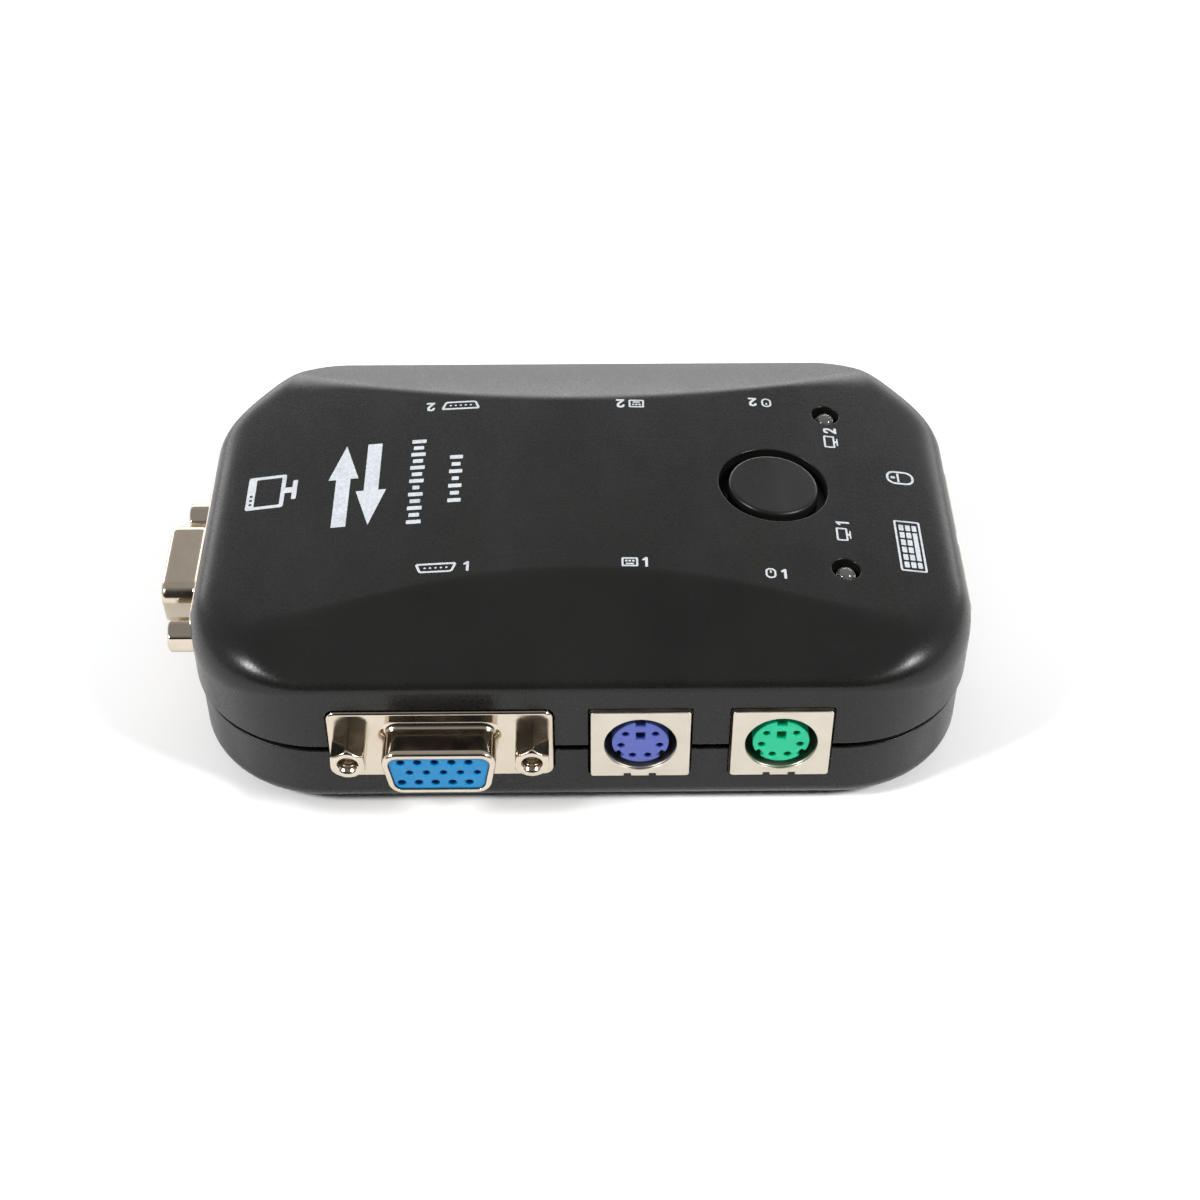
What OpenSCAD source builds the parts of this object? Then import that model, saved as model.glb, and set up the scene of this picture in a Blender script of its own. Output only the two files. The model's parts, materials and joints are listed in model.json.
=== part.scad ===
// Two-computer KVM switch: a crowned two-part case around one circuit board, with three sockets
// for each computer on the long sides, the shared monitor's socket on the left end and the shared
// keyboard and mouse jacks on the right end. All sizes are in millimetres.

/* [Case] */
// Width of the case, from its left end to its right end
case_w = 110; // [108:0.5:114]
// Depth of the case, from its front side to its back side
case_d = 71; // [70:0.5:74]
// Height of the case at the middle of its crown, without the feet
case_h = 29.8; // [29.4:0.1:32]
// Radius of the four corners, seen from above
corner_r = 19; // [18:0.5:19]
// Wall thickness of both covers
wall = 2; // [1.8:0.1:2.2]
// Radius of the crown, which falls away to the left and to the right
crown_r = 318; // [300:1:400]
// Slope of the front and back facets of the top, in degrees
facet_angle = 20; // [20:0.1:20.4]
// Distance from the middle of the case to the crease of each facet
crease_y = 19.1; // [18.8:0.1:19.6]
// Radius where a facet rolls over into the front or back side
rim_r = 3; // [2.5:0.1:3.4]
// Radius where the crown rolls over into the left or right end
side_r = 7; // [6:0.5:7.5]
// Radius of the lower edge of the bottom cover
bottom_r = 3; // [2.4:0.2:3]
// How far the bottom cover is set in from the top cover
bottom_inset = 0.5; // [0.3:0.1:0.6]
// Height of the groove between the two covers
groove_h = 0.9; // [0.6:0.1:1]

/* [Feet] */
// Diameter of each rubber foot
foot_d = 9; // [7:0.5:9]
// How far the feet stand out of the bottom
foot_h = 1; // [0.6:0.1:2]

/* [Sockets] */
// Height of the jacks' centres above the underside of the case
socket_h = 12.6; // [12.6:0.1:13]
// How far the metal faces of the sockets stand out of the case
face_proud = 0.45; // [0.3:0.05:0.6]
// Video socket of each computer, left of the middle
video_x = -19.3; // [-20:0.1:-19]
// Keyboard jack of each computer, right of the middle
keyboard_x = 8; // [7.5:0.1:9]
// Mouse jack of each computer, right of the middle
mouse_x = 27.3; // [26.5:0.1:27.8]
// Monitor socket on the left end, from the middle towards the back
monitor_y = -1.5; // [-1.5:0.1:1.5]
// Shared keyboard jack on the right end, from the middle towards the back
shared_keyboard_y = -9; // [-9.5:0.1:-8.5]
// Shared mouse jack on the right end, from the middle towards the back
shared_mouse_y = 7; // [6.5:0.1:8]

/* [Button and lights] */
// Select button, right of the middle
button_x = 27.8; // [27:0.1:28]
// Diameter of the button's cap
cap_d = 13; // [12:0.5:13.5]
// Width of the dark ring between the cap and the cover
cap_gap = 1.4; // [0.8:0.1:1.4]
// How far the button travels
travel = 0.3; // [0.2:0.05:0.4]
// Lights, right of the middle
light_x = 36.8; // [36.6:0.1:37.4]
// Lights, in front of and behind the middle
light_y = 17; // [16.5:0.1:17.2]

/* [Hidden] */
$fn = 96;
eps = 0.01;

// Colours
BLACK = [0.06, 0.06, 0.065];
NICKEL = [0.72, 0.68, 0.62];
BLUE = [0.07, 0.42, 0.72];
VIOLET = [0.30, 0.33, 0.72];
GREEN = [0.02, 0.70, 0.45];
BOARD = [0.05, 0.30, 0.14];
GOLD = [0.80, 0.62, 0.25];
TIN = [0.75, 0.75, 0.76];

// The sockets: name, side of the case, and place along that side
VIDEO = [
    ["pc1_video", "front", video_x],
    ["pc2_video", "back", video_x],
    ["monitor", "left", monitor_y]
];
JACKS = [
    ["pc1_keyboard", "front", keyboard_x],
    ["pc1_mouse", "front", mouse_x],
    ["pc2_keyboard", "back", keyboard_x],
    ["pc2_mouse", "back", mouse_x],
    ["shared_keyboard", "right", shared_keyboard_y],
    ["shared_mouse", "right", shared_mouse_y]
];
VIDEO_PIECES = ["shell", "insulator", "contacts", "brackets", "jackscrews"];
JACK_PIECES = ["shield", "can", "core", "contacts"];

// Video socket, after the 15-pin high-density D connector
flange_w = 30.81;
flange_h = 12.5;
flange_t = 0.8;
flange_r = 1.2;
video_lift = 0.3;
d_w = 16.33;
d_h = 7.9;
d_slope = 10;
d_r = 2.2;
d_wall = 0.5;
d_reach = 5.4;
screw_pitch = 24.99;
pin_pitch = 2.29;
row_pitch = 1.98;
jackscrew_reach = 3.8;
jackscrew_af = 4.6;
thread_r = 1.22;

// Keyboard and mouse jack, after the 6-pin mini-DIN connector
jack_w = 14;
jack_h = 13;
jack_l = 12.8;
jack_sheet = 0.35;
can_r = 5;
can_t = 0.3;
can_l = 7.5;
core_r = 3.9;
core_back = 10.2;
jack_pins = [[1.05, -2.6, 10.9], [2.65, -0.6, 10.9], [2.05, 1.6, 12.1]];

// Heights
port_z = foot_h + socket_h;
apex_z = foot_h + case_h;
parting_z = port_z - 0.5;
lip_top = parting_z + 1.2;
board_t = 1.6;
board_top = port_z - jack_h/2;
board_z = board_top - board_t;
tail_z = board_z - 0.8;

// The case is moved along X so that the whole part, sockets included, is centred on the origin
left_reach = case_w/2 + face_proud + d_reach;
right_reach = case_w/2 + face_proud;
case_x = (left_reach - right_reach)/2;

// Sections of the top: the crown seen from the front, and the facets seen from the side
crown_z = apex_z - crown_r;
side_cx = case_w/2 - side_r;
side_cz = crown_z + sqrt(pow(crown_r - side_r, 2) - pow(side_cx, 2));
rim_cy = case_d/2 - rim_r;
rim_cz = apex_z - (rim_cy - crease_y)*tan(facet_angle) - rim_r/cos(facet_angle);
corner_edge_r = 5;
corner_edge_z = apex_z - 8;

// Case screws and their posts
screw_x = case_w/2 - 11;
screw_y = case_d/2 - 10;
screw_r = 1.45;
post_r = 3.3;

// Select button and the switch under it
flange_top = 26.6 - 30.8 + apex_z;
cap_flange_r = 9;
guide_r = cap_flange_r + 0.06;
switch_w = 12;
switch_h = 3.5;
plunger_top = board_top + 7.3;

// ---- helpers ----

// Places what it holds in the case's own frame, whose X is measured from the middle of the case
module in_case() translate([case_x, 0, 0]) children();

// The four corners of a rectangle with these half sizes
module at_corners(x, y) for (sx = [-1, 1], sy = [-1, 1]) translate([sx*x, sy*y, 0]) children();

// Stands a socket in a side of the case. The socket is drawn facing -Y, its metal face at y = 0.
module seat(s) {
    side = s[1];
    turn = side == "front" ? 0 : side == "right" ? 90 : side == "back" ? 180 : -90;
    reach = side == "front" || side == "back" ? case_d/2 : case_w/2;
    along = side == "front" || side == "right" ? s[2] : -s[2];
    in_case() translate([0, 0, port_z]) rotate(turn) translate([along, -reach - face_proud, 0]) children();
}

// Extrudes an outline drawn in X and Z along Y, from y = from to y = to
module along_y(from, to) translate([0, to, 0]) rotate([90, 0, 0]) linear_extrude(to - from) children();

// A round bar along Y
module bar_y(r, from, to) translate([0, to, 0]) rotate([90, 0, 0]) cylinder(r = r, h = to - from);

// A rounded rectangle about the origin
module rounded(w, d, r) {
    square([w - 2*r, d], center = true);
    square([w, d - 2*r], center = true);
    for (sx = [-1, 1], sy = [-1, 1]) translate([sx*(w/2 - r), sy*(d/2 - r)]) circle(r);
}

// Outline of the case seen from above, set in by t
module plan(t) rounded(case_w - 2*t, case_d - 2*t, corner_r - t);

// ---- case ----

// The crown with its rounded ends, set in by t
module crown_section(t) {
    reach = 1.1;
    intersection() {
        translate([0, crown_z]) circle(crown_r - t, $fn = 1440);
        translate([0, crown_z])
            polygon([[0, 0], [reach*side_cx, reach*(side_cz - crown_z)], [-reach*side_cx, reach*(side_cz - crown_z)]]);
    }
    for (s = [-1, 1]) translate([s*side_cx, side_cz]) circle(side_r - t);
    translate([-case_w/2 + t, 0]) square([case_w - 2*t, side_cz]);
}

// The two facets with their rounded rims, set in by t
module facet_section(t) {
    r = rim_r - t;
    touch = [rim_cy + r*sin(facet_angle), rim_cz + r*cos(facet_angle)];
    ridge = apex_z + crease_y*tan(facet_angle) - t/cos(facet_angle);
    half = [[case_d/2 - t, 0], [case_d/2 - t, rim_cz], [rim_cy, rim_cz], touch, [0, ridge], [0, 0]];
    for (s = [-1, 1]) {
        polygon([for (p = half) [s*p[0], p[1]]]);
        translate([s*rim_cy, rim_cz]) circle(r);
    }
}

// What is cut off each corner so that its upper edge is round too
module corner_cut(t) {
    for (sx = [0, 1], sy = [0, 1])
        mirror([sx, 0, 0]) mirror([0, sy, 0])
            translate([case_w/2 - corner_r, case_d/2 - corner_r, 0])
                rotate_extrude(angle = 90)
                    translate([corner_r - corner_edge_r, corner_edge_z])
                        difference() {
                            square([corner_edge_r + 2, 12]);
                            circle(corner_edge_r - t);
                        }
}

// The case as one solid dome, set in by t
module dome(t) {
    difference() {
        intersection() {
            linear_extrude(apex_z + 1) plan(t);
            along_y(-case_d/2 - 1, case_d/2 + 1) crown_section(t);
            rotate([90, 0, 90]) linear_extrude(case_w + 2, center = true) facet_section(t);
        }
        corner_cut(t);
    }
}

// The openings in the case's sides, where the sockets show
module socket_openings() {
    for (v = VIDEO) seat(v) translate([0, 0, video_lift]) along_y(-1, 5)
        rounded(flange_w + 0.4, flange_h + 0.4, flange_r + 0.2);
    for (j = JACKS) seat(j) translate([0, 2, 0]) cube([jack_w + 0.4, 6, jack_h + 0.4], center = true);
}

// Upper half: crown, facets, screw posts, and the button's guide
module top_cover() color(BLACK) {
    difference() {
        union() {
            in_case() difference() {
                dome(0);
                dome(wall);
                translate([0, 0, -1]) linear_extrude(parting_z + 1) plan(-1);
                translate([0, 0, -1]) linear_extrude(lip_top + 1.2) plan(wall*0.55);
            }
            in_case() intersection() {
                dome(wall/2);
                union() {
                    at_corners(screw_x, screw_y) translate([0, 0, board_top]) cylinder(r = post_r, h = apex_z);
                    translate([button_x, 0, flange_top - 4]) cylinder(r = guide_r + 1.4, h = apex_z);
                }
            }
        }
        in_case() at_corners(screw_x, screw_y) translate([0, 0, board_top - 1]) cylinder(r = screw_r + 0.02, h = 11);
        in_case() translate([button_x, 0, 0]) {
            cylinder(r = cap_d/2 + cap_gap, h = apex_z + 1);
            translate([0, 0, flange_top - 5]) cylinder(r = guide_r, h = 5.05);
        }
        in_case() for (s = [-1, 1]) translate([light_x, s*light_y, port_z]) cylinder(r = 2.05, h = apex_z);
        socket_openings();
    }
}

// Solid shape of the bottom cover, rounded along its lower edge, set in by t and t above the bottom
module tub(t) {
    inset = bottom_inset + t;
    r = bottom_r - t;
    w = case_w - 2*inset;
    d = case_d - 2*inset;
    cr = corner_r - inset;
    z0 = foot_h + t;
    difference() {
        intersection() {
            linear_extrude(port_z) plan(inset);
            along_y(-case_d/2, case_d/2) tub_section(w, z0, r);
            rotate([90, 0, 90]) linear_extrude(case_w, center = true) tub_section(d, z0, r);
        }
        for (sx = [0, 1], sy = [0, 1])
            mirror([sx, 0, 0]) mirror([0, sy, 0])
                translate([w/2 - cr, d/2 - cr, 0])
                    rotate_extrude(angle = 90)
                        translate([cr - r, z0 + r])
                            difference() {
                                translate([0, -r - 2]) square([r + 2, r + 2]);
                                circle(r);
                            }
    }
}

// A box section with its two lower corners rounded
module tub_section(w, z0, r) {
    translate([-w/2, z0 + r]) square([w, 40]);
    translate([-w/2 + r, z0]) square([w - 2*r, 40]);
    for (s = [-1, 1]) translate([s*(w/2 - r), z0 + r]) circle(r);
}

// Lower half: floor, walls with a lip, and the posts that carry the board
module bottom_cover() color(BLACK) {
    lip_outer = wall*0.6;
    lip_inner = bottom_inset + wall - 0.2;
    difference() {
        in_case() union() {
            difference() {
                tub(0);
                tub(wall);
                translate([0, 0, parting_z - groove_h]) linear_extrude(40) plan(-1);
            }
            translate([0, 0, parting_z - groove_h - 1]) linear_extrude(lip_top - parting_z + groove_h + 1)
                difference() {
                    plan(lip_outer);
                    plan(lip_inner);
                }
            at_corners(screw_x, screw_y) translate([0, 0, foot_h + wall - eps])
                cylinder(r = post_r + 0.9, h = board_z - foot_h - wall + eps);
        }
        in_case() at_corners(screw_x, screw_y) {
            translate([0, 0, -1]) cylinder(r = 3.1, h = foot_h + 3.6);
            cylinder(r = screw_r + 0.2, h = board_top);
        }
        in_case() at_corners(screw_x - 7, screw_y - 7) cylinder(r = foot_d/2 + 0.1, h = foot_h + 0.5);
        socket_openings();
    }
}

// Four round pads, set into shallow pockets in the bottom
module rubber_feet() color([0.1, 0.1, 0.1]) {
    chamfer = 0.3;
    in_case() at_corners(screw_x - 7, screw_y - 7) {
        cylinder(r1 = foot_d/2 - chamfer, r2 = foot_d/2, h = chamfer);
        translate([0, 0, chamfer]) cylinder(r = foot_d/2, h = foot_h + 0.5 - chamfer);
    }
}

// Four pan-head screws, driven from below through the bottom cover and the board
module case_screws() color(TIN) {
    head_z = foot_h + 0.6;
    head_h = 2;
    in_case() at_corners(screw_x, screw_y) difference() {
        union() {
            translate([0, 0, head_z]) cylinder(r = 2.75, h = head_h);
            translate([0, 0, head_z + head_h - eps]) cylinder(r = screw_r, h = 12);
        }
        for (turn = [0, 90]) rotate(turn) translate([-1.6, -0.35, head_z - 1]) cube([3.2, 0.7, 2.1]);
    }
}

// ---- circuit board ----

// The board, with holes for the screws and for every lead that is soldered into it
module main_board() color(BOARD) {
    inset = 3.25;
    difference() {
        in_case() translate([0, 0, board_z]) linear_extrude(board_t) plan(inset);
        in_case() at_corners(screw_x, screw_y) cylinder(r = screw_r + 0.25, h = board_top + 1);
        in_case() translate([0, 0, board_z - 1]) {
            for (s = [-1, 1], lead = [-1, 1]) translate([light_x + lead*1.27, s*light_y]) cylinder(r = 0.45, h = 4);
            for (p = CAPACITORS, lead = [-1, 1]) translate([p[0] + lead, p[1]]) cylinder(r = 0.4, h = 4);
            for (lead = [-1, 1]) translate([CRYSTAL[0] + lead*2.4, CRYSTAL[1]]) cylinder(r = 0.4, h = 4);
            for (sx = [-1, 1], sy = [-1, 1]) translate([button_x + sx*6.3, sy*2.5]) cylinder(r = 0.6, h = 4);
        }
        for (v = VIDEO) seat(v) translate([0, 0, -port_z]) {
            for (row = [0 : 2], k = [0 : 4]) translate([pin_x(row, k), tail_y(row), board_z - 1])
                cylinder(r = 0.4, h = 4);
            for (s = [-1, 1]) translate([s*screw_pitch/2, 7.2, board_z - 1]) cylinder(r = 1.1, h = 4);
        }
        for (j = JACKS) seat(j) translate([0, 0, -port_z]) {
            for (p = jack_pins, s = [-1, 1]) translate([s*p[0], p[2], board_z - 1]) cylinder(r = 0.4, h = 4);
            for (s = [-1, 1]) translate([s*(jack_w - jack_sheet)/2, 7, board_z + 1]) cube([0.6, 2, 6], center = true);
        }
    }
}

// Places of the parts on the board, from the middle of the case
CHIP = [6, 0];
CAPACITORS = [[-30, 14], [-30, -14]];
CRYSTAL = [-8, -8];
VIDEO_CHIPS = [[-22, 0], [-11, 8], [-11, -1]];
DIODES = [[18, 13], [18, 9], [18, -9], [18, -13]];

// Controller in a wide small-outline package
module controller_chip() color([0.08, 0.08, 0.08])
    in_case() translate([CHIP[0], CHIP[1], board_top + 1.25]) cube([12.8, 7.5, 2.3], center = true);

// Three analogue switch chips that route the video signal
module video_chips() color([0.08, 0.08, 0.08])
    in_case() for (p = VIDEO_CHIPS) translate([p[0], p[1], board_top + 0.9]) cube([8.6, 3.9, 1.5], center = true);

// One gull-wing lead on each side, repeated along a package
module gull_wings(count, half_w, body_z) {
    for (k = [0 : count - 1], s = [-1, 1]) translate([(k - (count - 1)/2)*1.27, s*half_w, 0]) {
        translate([-0.2, s > 0 ? 0 : -0.7, body_z]) cube([0.4, 0.7, 0.2]);
        translate([-0.2, s > 0 ? 0.5 : -0.7, 0]) cube([0.4, 0.2, body_z + 0.1]);
        translate([-0.2, s > 0 ? 0.5 : -1.3, 0]) cube([0.4, 0.8, 0.2]);
    }
}

// Leads of all the chips
module chip_leads() color(TIN) in_case() translate([0, 0, board_top]) {
    translate([CHIP[0], CHIP[1], 0]) gull_wings(10, 3.75, 1.1);
    for (p = VIDEO_CHIPS) translate([p[0], p[1], 0]) gull_wings(6, 1.95, 0.8);
}

// Crystal in a low metal can, lying lengthways over its two leads
module crystal() color(TIN) in_case() translate([CRYSTAL[0], CRYSTAL[1], 0]) {
    translate([0, 0, board_top + 0.1]) linear_extrude(3.4) rounded(10.8, 4.4, 2);
    for (lead = [-1, 1]) translate([lead*2.4, 0, tail_z]) cylinder(r = 0.22, h = board_top + 0.2 - tail_z);
}

// Two upright electrolytic capacitors
module capacitors() color([0.12, 0.14, 0.3]) in_case() for (p = CAPACITORS) translate([p[0], p[1], 0]) {
    translate([0, 0, board_top + 0.1]) cylinder(r = 2.5, h = 7);
    translate([0, 0, board_top + 7]) cylinder(r = 2.2, h = 0.3);
    for (lead = [-1, 1]) translate([lead, 0, tail_z]) cylinder(r = 0.25, h = board_top + 0.2 - tail_z);
}

// Diodes that keep the two computers' supplies apart, in small glass packages
module diodes() color([0.6, 0.3, 0.15])
    in_case() for (p = DIODES) translate([p[0], p[1], board_top + 0.85]) rotate([0, 90, 0])
        cylinder(r = 0.8, h = 3.5, center = true);

// Rows of surface-mounted resistors and capacitors
module chip_parts() color([0.2, 0.17, 0.13]) in_case() translate([0, 0, board_top + 0.3]) {
    for (k = [0 : 5]) translate([-2 + k*2.6, 8.5, 0]) cube([1.2, 2, 0.55], center = true);
    for (k = [0 : 5]) translate([-2 + k*2.6, -8.5, 0]) cube([1.2, 2, 0.55], center = true);
    for (k = [0 : 3]) translate([-26 + k*2.6, 5.5, 0]) cube([1.2, 2, 0.55], center = true);
}

// ---- select button, switch and lights ----

// Round cap with a flange that keeps it in the cover, and a stem that reaches down to the switch
module select_button() color(BLACK) in_case() translate([button_x, 0, 0]) {
    roof = 1.6;
    difference() {
        union() {
            intersection() {
                translate([0, 0, flange_top - 1.2]) cylinder(d = cap_d, h = 10);
                translate([-button_x, 0, 0.1]) along_y(-case_d/2, case_d/2) crown_section(0);
            }
            translate([0, 0, flange_top - 1.2]) cylinder(r = cap_flange_r, h = 1.2);
        }
        translate([0, 0, flange_top - 2]) cylinder(d = cap_d - 2*roof, h = 3.2);
    }
    translate([0, 0, plunger_top + 0.02]) cylinder(r = 2, h = flange_top + 1.3 - plunger_top);
}

// Base of the push switch, with a round well for the plunger
module switch_base() color([0.07, 0.07, 0.07]) in_case() translate([button_x, 0, board_top]) {
    difference() {
        translate([-switch_w/2, -switch_w/2, 0]) cube([switch_w, switch_w, switch_h]);
        translate([0, 0, 1.8 - travel]) cylinder(r = 3.6, h = switch_h);
    }
    for (sx = [-1, 1], sy = [-1, 1]) translate([sx*6.3, sy*2.5, tail_z - board_top])
        cylinder(r = 0.45, h = board_top - tail_z + 0.6);
}

// Metal frame that is folded over the switch's base
module switch_frame() color(TIN) in_case() translate([button_x, 0, board_top + switch_h + eps]) {
    difference() {
        translate([-switch_w/2, -switch_w/2, 0]) cube([switch_w, switch_w, 0.3]);
        translate([0, 0, -1]) cylinder(r = 3.5, h = 2);
    }
    for (sx = [-1, 1], sy = [-1, 1]) translate([sx*4.6, sy*4.6, 0.29]) cylinder(r = 0.7, h = 0.25);
}

// Plunger of the push switch: a round foot in the well and a square head under the button's stem
module switch_plunger() color([0.1, 0.1, 0.1]) in_case() translate([button_x, 0, board_top]) {
    translate([0, 0, 2]) cylinder(r = 3.4, h = 2.9);
    translate([-1.9, -1.9, 4.8]) cube([3.8, 3.8, 7.3 - 4.8]);
}

// A three-millimetre light with a domed top, just below the surface of the cover
module light(side) color([0.85, 0.85, 0.82, 0.6]) in_case() translate([light_x, side*light_y, apex_z - 8]) {
    cylinder(r = 1.9, h = 1);
    cylinder(r = 1.5, h = 4.2);
    translate([0, 0, 4.2]) sphere(r = 1.5);
}

// The long wire leads of both lights
module light_leads() color(TIN) in_case()
    for (s = [-1, 1], lead = [-1, 1]) translate([light_x + lead*1.27, s*light_y, tail_z])
        translate([-0.25, -0.25, 0]) cube([0.5, 0.5, apex_z - 8 - tail_z - eps]);

// ---- video sockets ----

// Across the socket, the place of pin k in a row. The middle row is set half a pitch aside.
function pin_x(row, k) = (k - 2)*pin_pitch + (row == 1 ? pin_pitch/2 : 0) - pin_pitch/4;
// Height of a row of pins above the middle of the socket
function pin_z(row) = video_lift + (1 - row)*row_pitch;
// Where the tails of a row go down into the board
function tail_y(row) = 11.2 - row*2.2;

// Rounded D outline, wide side up, set in by t
module d_outline(t) {
    r = d_r - t;
    top_z = d_h/2 - d_r;
    top_x = d_w/2 - d_r*tan(d_slope) - d_r/cos(d_slope);
    low_x = d_w/2 - (d_h - d_r)*tan(d_slope) - d_r/cos(d_slope);
    side = [r*cos(d_slope), -r*sin(d_slope)];
    half = [[top_x, top_z + r], [top_x, top_z] + side, [low_x, -top_z] + side, [low_x, -top_z - r]];
    polygon(concat(half, [for (k = [3 : -1 : 0]) [-half[k][0], half[k][1]]]));
    for (s = [-1, 1]) {
        translate([s*top_x, top_z]) circle(r);
        translate([s*low_x, -top_z]) circle(r);
    }
}

// Pressed steel shell: a flange with two screw holes, and the D-shaped collar
module video_shell() color(NICKEL) translate([0, 0, video_lift]) difference() {
    union() {
        along_y(0, flange_t) rounded(flange_w, flange_h, flange_r);
        along_y(-d_reach, flange_t/2) d_outline(0);
    }
    along_y(-d_reach - 1, flange_t + 1) d_outline(d_wall);
    for (s = [-1, 1]) translate([s*screw_pitch/2, 0, 0]) bar_y(1.6, -1, 2);
}

// Moulded insulator: it fills the collar, passes through the flange and holds the contacts
module video_insulator() color(BLUE) difference() {
    union() {
        translate([0, 0, video_lift]) along_y(-d_reach + 0.25, flange_t + 5) d_outline(d_wall + 0.02);
        translate([-5, flange_t, video_lift - 2]) cube([10, 4, 4]);
    }
    for (row = [0 : 2], k = [0 : 4]) translate([pin_x(row, k), 0, pin_z(row)]) bar_y(0.55, -d_reach - 1, 8);
}

// Fifteen socket contacts, each with a tail that goes down into the board
module video_contacts() color(GOLD)
    for (row = [0 : 2], k = [0 : 4]) translate([pin_x(row, k), 0, pin_z(row)]) {
        difference() {
            bar_y(0.5, -d_reach + 1.6, 6.4);
            bar_y(0.3, -d_reach, -d_reach + 4);
        }
        bar_y(0.3, 6.2, tail_y(row) + 0.3);
        translate([0, tail_y(row), tail_z - port_z - pin_z(row)]) cylinder(r = 0.3, h = port_z + pin_z(row) - tail_z);
    }

// Two steel angles behind the flange. Each takes a jackscrew and is pegged into the board.
module video_brackets() color(NICKEL) for (s = [-1, 1]) translate([s*screw_pitch/2, 0, 0]) {
    foot_z = board_top - port_z;
    difference() {
        union() {
            translate([-2.4, flange_t + 0.02, foot_z + 0.6]) cube([4.8, 1, 10.4]);
            translate([-2.4, flange_t + 0.02, foot_z + 0.6]) cube([4.8, 9, 0.8]);
            translate([-2.4, 4, foot_z + 0.02]) cube([4.8, 5.8, 1]);
            translate([0, 0, video_lift]) bar_y(2.5, flange_t + 0.5, flange_t + 4);
            translate([0, 7.2, tail_z - port_z]) cylinder(r = 1, h = board_top - tail_z + 0.5);
        }
        translate([0, 0, video_lift]) bar_y(1.42, -1, 8);
    }
}

// Two hexagonal jackscrews with threaded holes for the plug's own screws
module video_jackscrews() color(NICKEL) for (s = [-1, 1]) translate([s*screw_pitch/2, 0, video_lift]) {
    difference() {
        union() {
            translate([0, -eps, 0]) rotate([90, 0, 0]) cylinder(d = jackscrew_af/cos(30), h = jackscrew_reach, $fn = 6);
            bar_y(1.4, -0.1, 4.4);
        }
        bar_y(thread_r, -jackscrew_reach - 1, -0.6);
    }
}

// ---- keyboard and mouse jacks ----

// Folded steel shield: face plate with a round opening, top, two sides with legs, open behind
module jack_shield() color(NICKEL) difference() {
    union() {
        translate([-jack_w/2, 0, -jack_h/2 + 0.02]) cube([jack_w, jack_l, jack_h - 0.02]);
        for (s = [-1, 1]) translate([s*(jack_w - jack_sheet)/2, 7, (tail_z - port_z - jack_h/2 + 1)/2])
            cube([jack_sheet, 1.5, port_z - tail_z - jack_h/2 + 1], center = true);
    }
    translate([-jack_w/2 + jack_sheet, jack_sheet, -jack_h/2 - 5]) cube([jack_w - 2*jack_sheet, jack_l, jack_h + 5 - jack_sheet]);
    bar_y(can_r, -1, 2);
    for (s = [-1, 1]) translate([s*1.75, 0, -jack_h/2]) cube([0.9, 2, 1.2], center = true);
}

// Round inner can that the plug's own collar slides into
module jack_can() color(NICKEL) difference() {
    bar_y(can_r + can_t, jack_sheet + 0.02, can_l);
    bar_y(can_r, -1, can_l + 1);
}

// Coloured moulding: a round core with six pin holes and a key hole
module jack_core(tint) color(tint) difference() {
    bar_y(core_r, 0.5, can_l);
    for (p = jack_pins, s = [-1, 1]) translate([s*p[0], 0, p[1]]) bar_y(0.45, -1, core_back + 1);
    translate([-0.75, -1, 0.2]) cube([1.5, 7, 2]);
    translate([-0.65, -1, core_r - 0.7]) cube([1.3, can_l, 2]);
    for (s = [-1, 1]) rotate([0, s*128, 0]) translate([-0.6, -1, core_r - 0.5]) cube([1.2, can_l, 2]);
}

// Black moulded bases that close the jacks behind the cores and hold their contacts
module jack_bases() color([0.08, 0.08, 0.08]) for (j = JACKS) seat(j) difference() {
    translate([-jack_w/2 + 0.5, can_l + 0.02, -jack_h/2 + 0.3])
        cube([jack_w - 1, core_back - can_l, jack_h - 0.8]);
    for (p = jack_pins, s = [-1, 1]) translate([s*p[0], 0, p[1]]) bar_y(0.45, -1, core_back + 1);
}

// Six contacts, each with a tail that goes down into the board behind the base
module jack_contacts() color(GOLD) for (p = jack_pins, s = [-1, 1]) translate([s*p[0], 0, 0]) {
    translate([0, 0, p[1]]) difference() {
        bar_y(0.42, 2, p[2] + 0.3);
        bar_y(0.26, 1, 5);
    }
    translate([0, p[2], tail_z - port_z]) cylinder(r = 0.3, h = port_z - tail_z + p[1]);
}

// ---- the part ----

top_cover();
bottom_cover();
rubber_feet();
case_screws();
main_board();
select_button();
switch_base();
switch_frame();
switch_plunger();
light(-1);  // pc1_light
light(1);  // pc2_light
light_leads();
controller_chip();
video_chips();
chip_leads();
crystal();
capacitors();
diodes();
chip_parts();
jack_bases();

for (v = VIDEO) {
    seat(v) video_shell();
    seat(v) video_insulator();
    seat(v) video_contacts();
    seat(v) video_brackets();
    seat(v) video_jackscrews();
}

for (k = [0 : len(JACKS) - 1]) {
    jack = JACKS[k];
    seat(jack) jack_shield();
    seat(jack) jack_can();
    seat(jack) jack_core(k % 2 == 0 ? VIOLET : GREEN);
    seat(jack) jack_contacts();
}
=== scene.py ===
"""Looks of a two-computer KVM switch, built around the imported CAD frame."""

import json
import math

import bpy
import numpy as np
from mathutils import Matrix, Vector
from mathutils.geometry import delaunay_2d_cdt
from mathutils.kdtree import KDTree


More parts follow.
